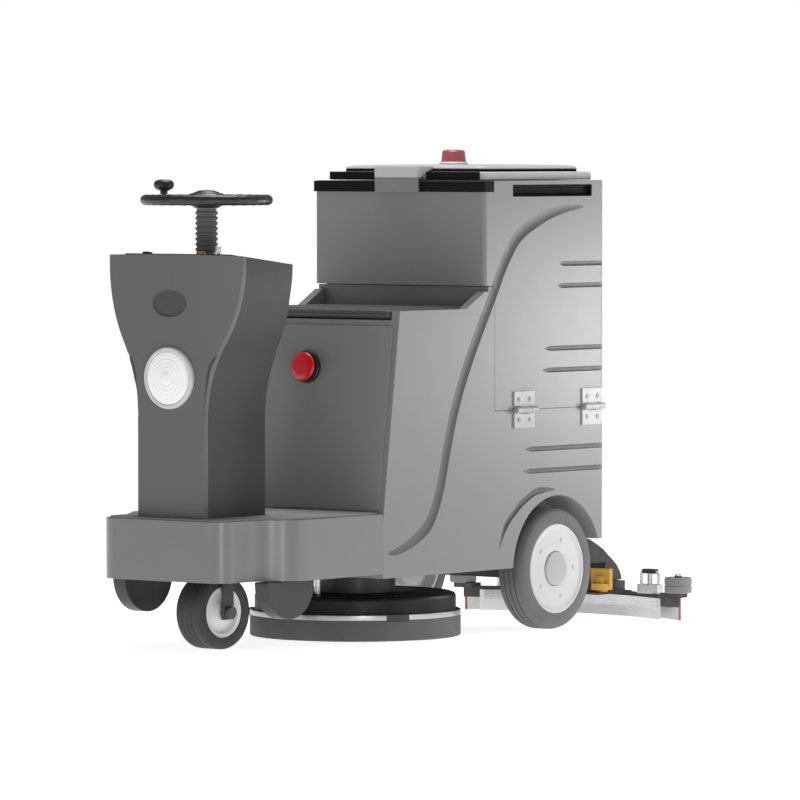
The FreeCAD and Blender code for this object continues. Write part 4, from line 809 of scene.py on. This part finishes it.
def make_seat():
    """Vinyl seat pad, blown up as cloth from a smaller block, with piping round its top."""
    low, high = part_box("seat_cushion")
    bm = bmesh.new()
    rings = []
    for z, pull in ((low.z + 0.001, 0.004), (low.z + 0.006, 0.0), (high.z - 0.009, 0.0),
                    (high.z - 0.006, 0.003)):
        edge = SEAT_INSET + pull
        hx, y0, y1 = high.x - edge, low.y + edge, high.y - edge
        rings.append(rounded_rectangle(hx * 1000, y0 * 1000, y1 * 1000, 14, z * 1000, 5))
    loft(bm, rings)
    mesh = bpy.data.meshes.new("seat_pad")
    bmesh.ops.triangulate(bm, faces=bm.faces)
    bmesh.ops.recalc_face_normals(bm, faces=bm.faces)
    bm.to_mesh(mesh)
    bm.free()
    pad = bpy.data.objects.new("seat_pad", mesh)
    bpy.context.scene.collection.objects.link(pad)
    remesh = pad.modifiers.new("remesh", "REMESH")
    remesh.mode = "VOXEL"
    remesh.voxel_size = SEAT_VOXEL
    pad.data = applied(pad)
    start = [v.co.copy() for v in pad.data.vertices]
    cloth = pad.modifiers.new("cloth", "CLOTH")
    cloth.settings.use_pressure = True
    cloth.settings.uniform_pressure_force = 4.0
    cloth.settings.effector_weights.gravity = 0.0
    cloth.settings.quality = 5
    scene = bpy.context.scene
    for number in range(1, SETTLE_FRAMES + 1):
        scene.frame_set(number)
    pad.data = applied(pad)
    scene.frame_set(1)
    for vertex, rest in zip(pad.data.vertices, start):
        move = vertex.co - rest
        if move.length > SEAT_PUFF:
            move = move.normalized() * SEAT_PUFF
        place = rest + move
        place.z = min(max(place.z, low.z + SEAT_MARGIN), high.z)
        place.x = min(max(place.x, low.x + SEAT_MARGIN), high.x - SEAT_MARGIN)
        place.y = min(max(place.y, low.y + SEAT_MARGIN), high.y - SEAT_MARGIN)
        vertex.co = place
    for vertex in pad.data.vertices:
        for x in (-SEAM_X, SEAM_X):
            gap = abs(vertex.co.x - x)
            if gap < SEAM_HALF_WIDTH and vertex.co.z > high.z - 0.02:
                vertex.co.z -= SEAM_DEPTH * (1 - (gap / SEAM_HALF_WIDTH) ** 2)
    pad.data.shade_smooth()
    pad.data.materials.clear()
    pad.data.materials.append(MATERIALS["seat_cover"])
    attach(pad, "chassis")
    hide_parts("seat_cushion")
    bm = bmesh.new()
    edge = rounded_rectangle(high.x * 1000 - 4, low.y * 1000 + 4, high.y * 1000 - 4, 14, high.z * 1000 - 8, 8)
    tube(bm, edge, 0.0028, 10, closed=True)
    part("seat_piping", bm, "seat_cover", "chassis")


STOP_ALONG = 375    # mm up the slope of the seat box


def slope_place(along):
    """A frame on the sloping seat box front, that far up it in mm: Z out of the panel."""
    slope = math.atan2(67, 513)
    foot = mm(0, -355, 299)
    up = Vector((0, math.sin(slope), math.cos(slope)))
    out = Vector((0, -math.cos(slope), math.sin(slope)))
    side = up.cross(out)
    matrix = Matrix((side, up, out)).transposed().to_4x4()
    matrix.translation = foot + up * along / 1000.0
    return matrix


def make_stop_button():
    """Mushroom head and the collar round it."""
    place = slope_place(STOP_ALONG)
    head = [(0, 0.0066), (0.0149, 0.0066), (0.0149, 0.0205), (0.0335, 0.0208), (0.0349, 0.0222),
            (0.0342, 0.0262), (0.0310, 0.0288), (0.0200, 0.0298), (0, 0.0299)]
    turned("stop_head", head, place, "red_plastic", "stop_button", ("estop_button",), angle=50)
    collar = [(0.0152, 0.0131), (0.0372, 0.0131), (0.0386, 0.0120), (0.0386, 0.0042), (0.0400, 0.0041),
              (0.0400, 0.0125), (0.0380, 0.0142), (0.0152, 0.0142)]
    turned("stop_collar", collar, place, "black_plastic", "chassis")


# ---------------------------------------------------------------- brush and underside

BRUSH_Y = -124
SKIRT_RADIUS = 0.2619
TUFT_ROWS = (0.122, 0.144, 0.166, 0.188, 0.210, 0.230)
TUFT_SPACING = 0.017
TUFT_LEAN = 0.002
TUFT_SIDES = 7


def make_brush():
    """Drum with its steel band, latches, rivets and skirt, and the disc brush in tufts."""
    place = at(0, BRUSH_Y, 0)
    drum = [(0.014, 0.105), (0.243, 0.105), (0.2445, 0.062), (0.248, 0.0562), (0.2575, 0.0560),
            (0.2575, 0.0640), (0.2500, 0.0665), (0.2500, 0.1010), (0.2470, 0.1070), (0.2400, 0.1098),
            (0.2200, 0.1100), (0.2180, 0.1085), (0.1500, 0.1085), (0.1480, 0.1100), (0.014, 0.1100)]
    turned("drum_cover", rounded_profile(drum, 0.0012, 2), place, "drum_metal", "brush_unit",
           ("brush_deck_plate",), segments=144)
    band = [(0.2576, 0.0545), (0.2618, 0.0545), (0.2618, 0.0672), (0.2576, 0.0672)]
    turned("skirt_band", band, place, "band_steel", "brush_unit", radius=0.0008, segments=144)
    bm = bmesh.new()
    for middle in (-28, 92, 212):
        rings = []
        for k in range(9):
            turn = math.radians(middle + 13 * (k / 8 - 0.5))
            swell = 0.0030 if 0 < k < 8 else 0.0020
            rings.append([place @ Vector((r * math.cos(turn), r * math.sin(turn), z))
                          for r, z in ((SKIRT_RADIUS, 0.0515), (SKIRT_RADIUS + swell, 0.0525),
                                       (SKIRT_RADIUS + swell, 0.0680), (SKIRT_RADIUS, 0.0690))])
        loft(bm, rings)
    part("skirt_latches", bm, "black_plastic", "brush_unit")
    bm = bmesh.new()
    for middle in (-150, -152.5, -30, -32.5, 90, 92.5):
        spot = place @ Matrix.Rotation(math.radians(middle), 4, "Z") @ Matrix.Translation((0.2616, 0, 0.0608))
        lathe(bm, [(0, 0), (0.0042, 0), (0.0042, 0.0018), (0.0030, 0.0028), (0, 0.0028)],
              spot @ Matrix.Rotation(math.pi / 2, 4, "Y"), 16)
    part("skirt_rivets", bm, "zinc", "brush_unit")
    bm = bmesh.new()
    skirt = [(0.2562, 0.0032), (0.2600, 0.0030), (SKIRT_RADIUS, 0.0060), (SKIRT_RADIUS, 0.0543),
             (0.2562, 0.0543)]
    lathe(bm, rounded_profile(skirt, 0.001, 2), place, 144)
    part("skirt_rubber", bm, "black_rubber", "brush_unit", ("splash_skirt",))
    bm = bmesh.new()
    random.seed(7)
    for row, radius in enumerate(TUFT_ROWS):
        count = int(2 * math.pi * radius / TUFT_SPACING)
        for k in range(count):
            turn = 2 * math.pi * (k + 0.5 * (row % 2)) / count
            lean = Vector((random.uniform(-1, 1), random.uniform(-1, 1), 0)) * TUFT_LEAN
            root = mm(0, BRUSH_Y, 47.9) + Vector((radius * math.cos(turn), radius * math.sin(turn), 0))
            tip = root + lean
            tip.z = 0.0021
            rings = []
            for t, r in ((0.0, 0.0042), (0.5, 0.0047), (1.0, 0.0058)):
                middle = root.lerp(tip, t)
                rings.append([middle + Vector((r * math.cos(a), r * math.sin(a), 0))
                              for a in (2 * math.pi * j / TUFT_SIDES for j in range(TUFT_SIDES))])
            loft(bm, rings)
    part("bristle_tufts", bm, "bristle", "brush", ("brush_bristles",), 60)
    for node, width in (("brush_block", 1.5), ("brush_motor", 2.0), ("brush_actuator_rod", 0.5),
                        ("brush_actuator_barrel", 1.5)):
        soften(node, width, 2)


def make_underside():
    """Frame, axle, skids, battery, suction motor, hose inlet and filler cap, with softened edges."""
    for node, width in (("main_frame", 2.0), ("rear_axle", 2.0), ("anti_tip_skids", 2.5),
                        ("battery_pack", 4.0),
                        ("vacuum_motor", 2.0), ("hose_inlet", 1.0), ("filler_cap", 1.5)):
        soften(node, width, 2)


SEAM_Z = 557
HINGE_YS = (212, 497)
SCREW_X = 273.05
SCREW_SHIFT, SCREW_RISE = 22, 26


def make_hinges():
    """Leaves and screw heads of the tank's two hinges, above and below the seam."""
    for node in ("hinge_lower_leaves", "hinge_upper_leaves"):
        soften(node, 0.8, 2, material="hinge_grey")
    for label, body, rise in (("lower", "chassis", -SCREW_RISE), ("upper", "recovery_tank", SCREW_RISE)):
        bm = bmesh.new()
        for middle in HINGE_YS:
            for shift in (-SCREW_SHIFT, SCREW_SHIFT):
                place = at(SCREW_X, middle + shift, SEAM_Z + rise, "x")
                lathe(bm, [(0, 0), (0.0060, 0), (0.0060, 0.0008), (0.0050, 0.0024), (0.0026, 0.0029),
                           (0.0024, 0.0016), (0, 0.0016)], place, 20)
        part(f"hinge_screw_heads_{label}", bm, "hub_cap", body, (f"hinge_screws_{label}",))


# ---------------------------------------------------------------- squeegee

BLADE_TIP = 0.340     # metres from the middle to the red end of a blade
CLAMP_X = 226
ROLLER_X, ROLLER_Y = 346, 768


def split_blades():
    """The CAD's blades as two pieces, both pale; the rear blade's outer ends are red."""
    rear = soften("squeegee_blades", 0.4, 1)
    rear.data.materials.append(MATERIALS["pale_rubber"])
    front = new_object("front_blade", rear.data.copy(), "pale_rubber", "squeegee")
    for obj, keeps_front in ((rear, False), (front, True)):
        bm = bmesh.new()
        bm.from_mesh(obj.data)
        islands = loose_islands(bm)
        nearness = [min((abs(v.co.x), v.co.y) for v in island)[1] for island in islands]
        middle = (min(nearness) + max(nearness)) / 2
        unwanted = [v for island, y in zip(islands, nearness) if (y < middle) != keeps_front for v in island]
        bmesh.ops.delete(bm, geom=unwanted, context="VERTS")
        if not keeps_front:
            redden_tips(bm)
        bm.to_mesh(obj.data)
        bm.free()


def redden_tips(bm):
    """Give the blade the pale material, but for its outer ends."""
    for side in (1, -1):
        everything = bm.verts[:] + bm.edges[:] + bm.faces[:]
        bmesh.ops.bisect_plane(bm, geom=everything, plane_co=(side * BLADE_TIP, 0, 0), plane_no=(1, 0, 0))
    for face in bm.faces:
        face.material_index = 0 if abs(face.calc_center_median().x) > BLADE_TIP else 1


def loose_islands(bm):
    """Lists of vertices, one for each loose piece of a mesh."""
    unseen = set(bm.verts)
    islands = []
    while unseen:
        island, queue = [], [unseen.pop()]
        while queue:
            vertex = queue.pop()
            island.append(vertex)
            for edge in vertex.link_edges:
                other = edge.other_vert(vertex)
                if other in unseen:
                    unseen.remove(other)
                    queue.append(other)
        islands.append(island)
    return islands


def make_squeegee():
    """Body, blades, toggles over the clamps, arm, rollers, knobs and bolts."""
    soften("squeegee_body", 2.0, 2)
    split_blades()
    soften("blade_clamps", 0.8, 2)
    stud_top = [v.co for v in NODES["blade_clamps"].data.vertices if v.co.z > 0.1]
    stud_y = 1000 * sum(co.y for co in stud_top) / len(stud_top)
    for side, x in (("left", CLAMP_X), ("right", -CLAMP_X)):
        bm = bmesh.new()
        loop = [mm(x - 27, stud_y, 88.1), mm(x - 27, stud_y, 112)]
        loop += [mm(x + turn * 20 + 7 * math.cos(a), stud_y, 112 + 7 * math.sin(a))
                 for turn, start in ((-1, 180), (1, 90))
                 for a in (math.radians(start - 15 * k) for k in range(7))]
        loop += [mm(x + 27, stud_y, 88.1)]
        tube(bm, loop, 0.0036, 16)
        part(f"toggle_frame_{side}", bm, "zinc", "squeegee")
        bm = bmesh.new()
        rings = []
        for pull, z in ((1.5, 115.5), (0, 117), (0, 125.5), (1.5, 127.5)):
            corners = ((-20, -9), (20, -9), (20, 9), (-20, 9))
            rings.append([mm(x + dx - math.copysign(pull, dx), stud_y + dy - math.copysign(pull, dy), z)
                          for dx, dy in corners])
        loft(bm, rings)
        part(f"toggle_cap_{side}", bm, "black_plastic", "squeegee")
    soften("squeegee_arm", 5.0, 4)
    for side, sign in (("left", 1), ("right", -1)):
        place = at(sign * ROLLER_X, ROLLER_Y, 0)
        roller = [(0.00905, 0.0730), (0.0320, 0.0730), (0.0345, 0.0750), (0.0350, 0.0790),
                  (0.0350, 0.0905), (0.0338, 0.0918), (0.0338, 0.0940), (0.0350, 0.0953),
                  (0.0350, 0.1070), (0.0345, 0.1110), (0.0320, 0.1130), (0.0180, 0.1130),
                  (0.0160, 0.1115), (0.00905, 0.1115)]
        turned(f"roller_{side}_tyre", roller, place, "roller_grey", f"roller_{side}",
               (f"bumper_roller_{side}",), segments=64)
        soften(f"clamp_knob_{side}", 2.5, 3)
        bolt = [(0, 0.1162), (0.0085, 0.1162), (0.0085, 0.1205), (0.0060, 0.1225), (0, 0.1225)]
        turned(f"roller_bolt_{side}", bolt, place, "zinc", "squeegee", segments=24)


def make_hose():
    """Corrugated suction duct in one S-bend from the body's inlet to the hood."""
    (start_y, start_z), (end_y, end_z) = (588.1, 262), (699.9, 178)
    run, drop = 111.8, 84.0
    bend = (run * run + drop * drop) / (4 * drop)
    half = math.asin(run / 2 / bend)
    steps = 60
    path = []
    for k in range(steps + 1):
        turn = half * k / steps
        path.append(mm(0, start_y + bend * math.sin(turn), start_z - bend * (1 - math.cos(turn))))
    for k in range(1, steps + 1):
        turn = half * (1 - k / steps)
        path.append(mm(0, end_y - bend * math.sin(turn), end_z + bend * (1 - math.cos(turn))))
    radii = [0.0208 + 0.0018 * math.cos(2 * math.pi * i / 6) for i in range(len(path))]
    cuff = 5
    radii[:cuff] = [0.0228] * cuff
    radii[-cuff:] = [0.0228] * cuff
    bm = bmesh.new()
    tube(bm, path, radii, 36)
    hose = part("suction_duct", bm, "hose_black", None, ("vacuum_hose",), 70)
    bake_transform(hose)


# ---------------------------------------------------------------- build

make_camera()
make_world()
make_floor()
make_materials()
make_shells()
make_lid()
make_grips()
make_wheels()
make_steering()
make_console()
make_seat()
make_stop_button()
make_brush()
make_underside()
make_hinges()
make_squeegee()
make_hose()

for node, obj in NODES.items():
    obj.data.materials.clear()
    obj.data.materials.append(MATERIALS[SLOT_OF[node]])
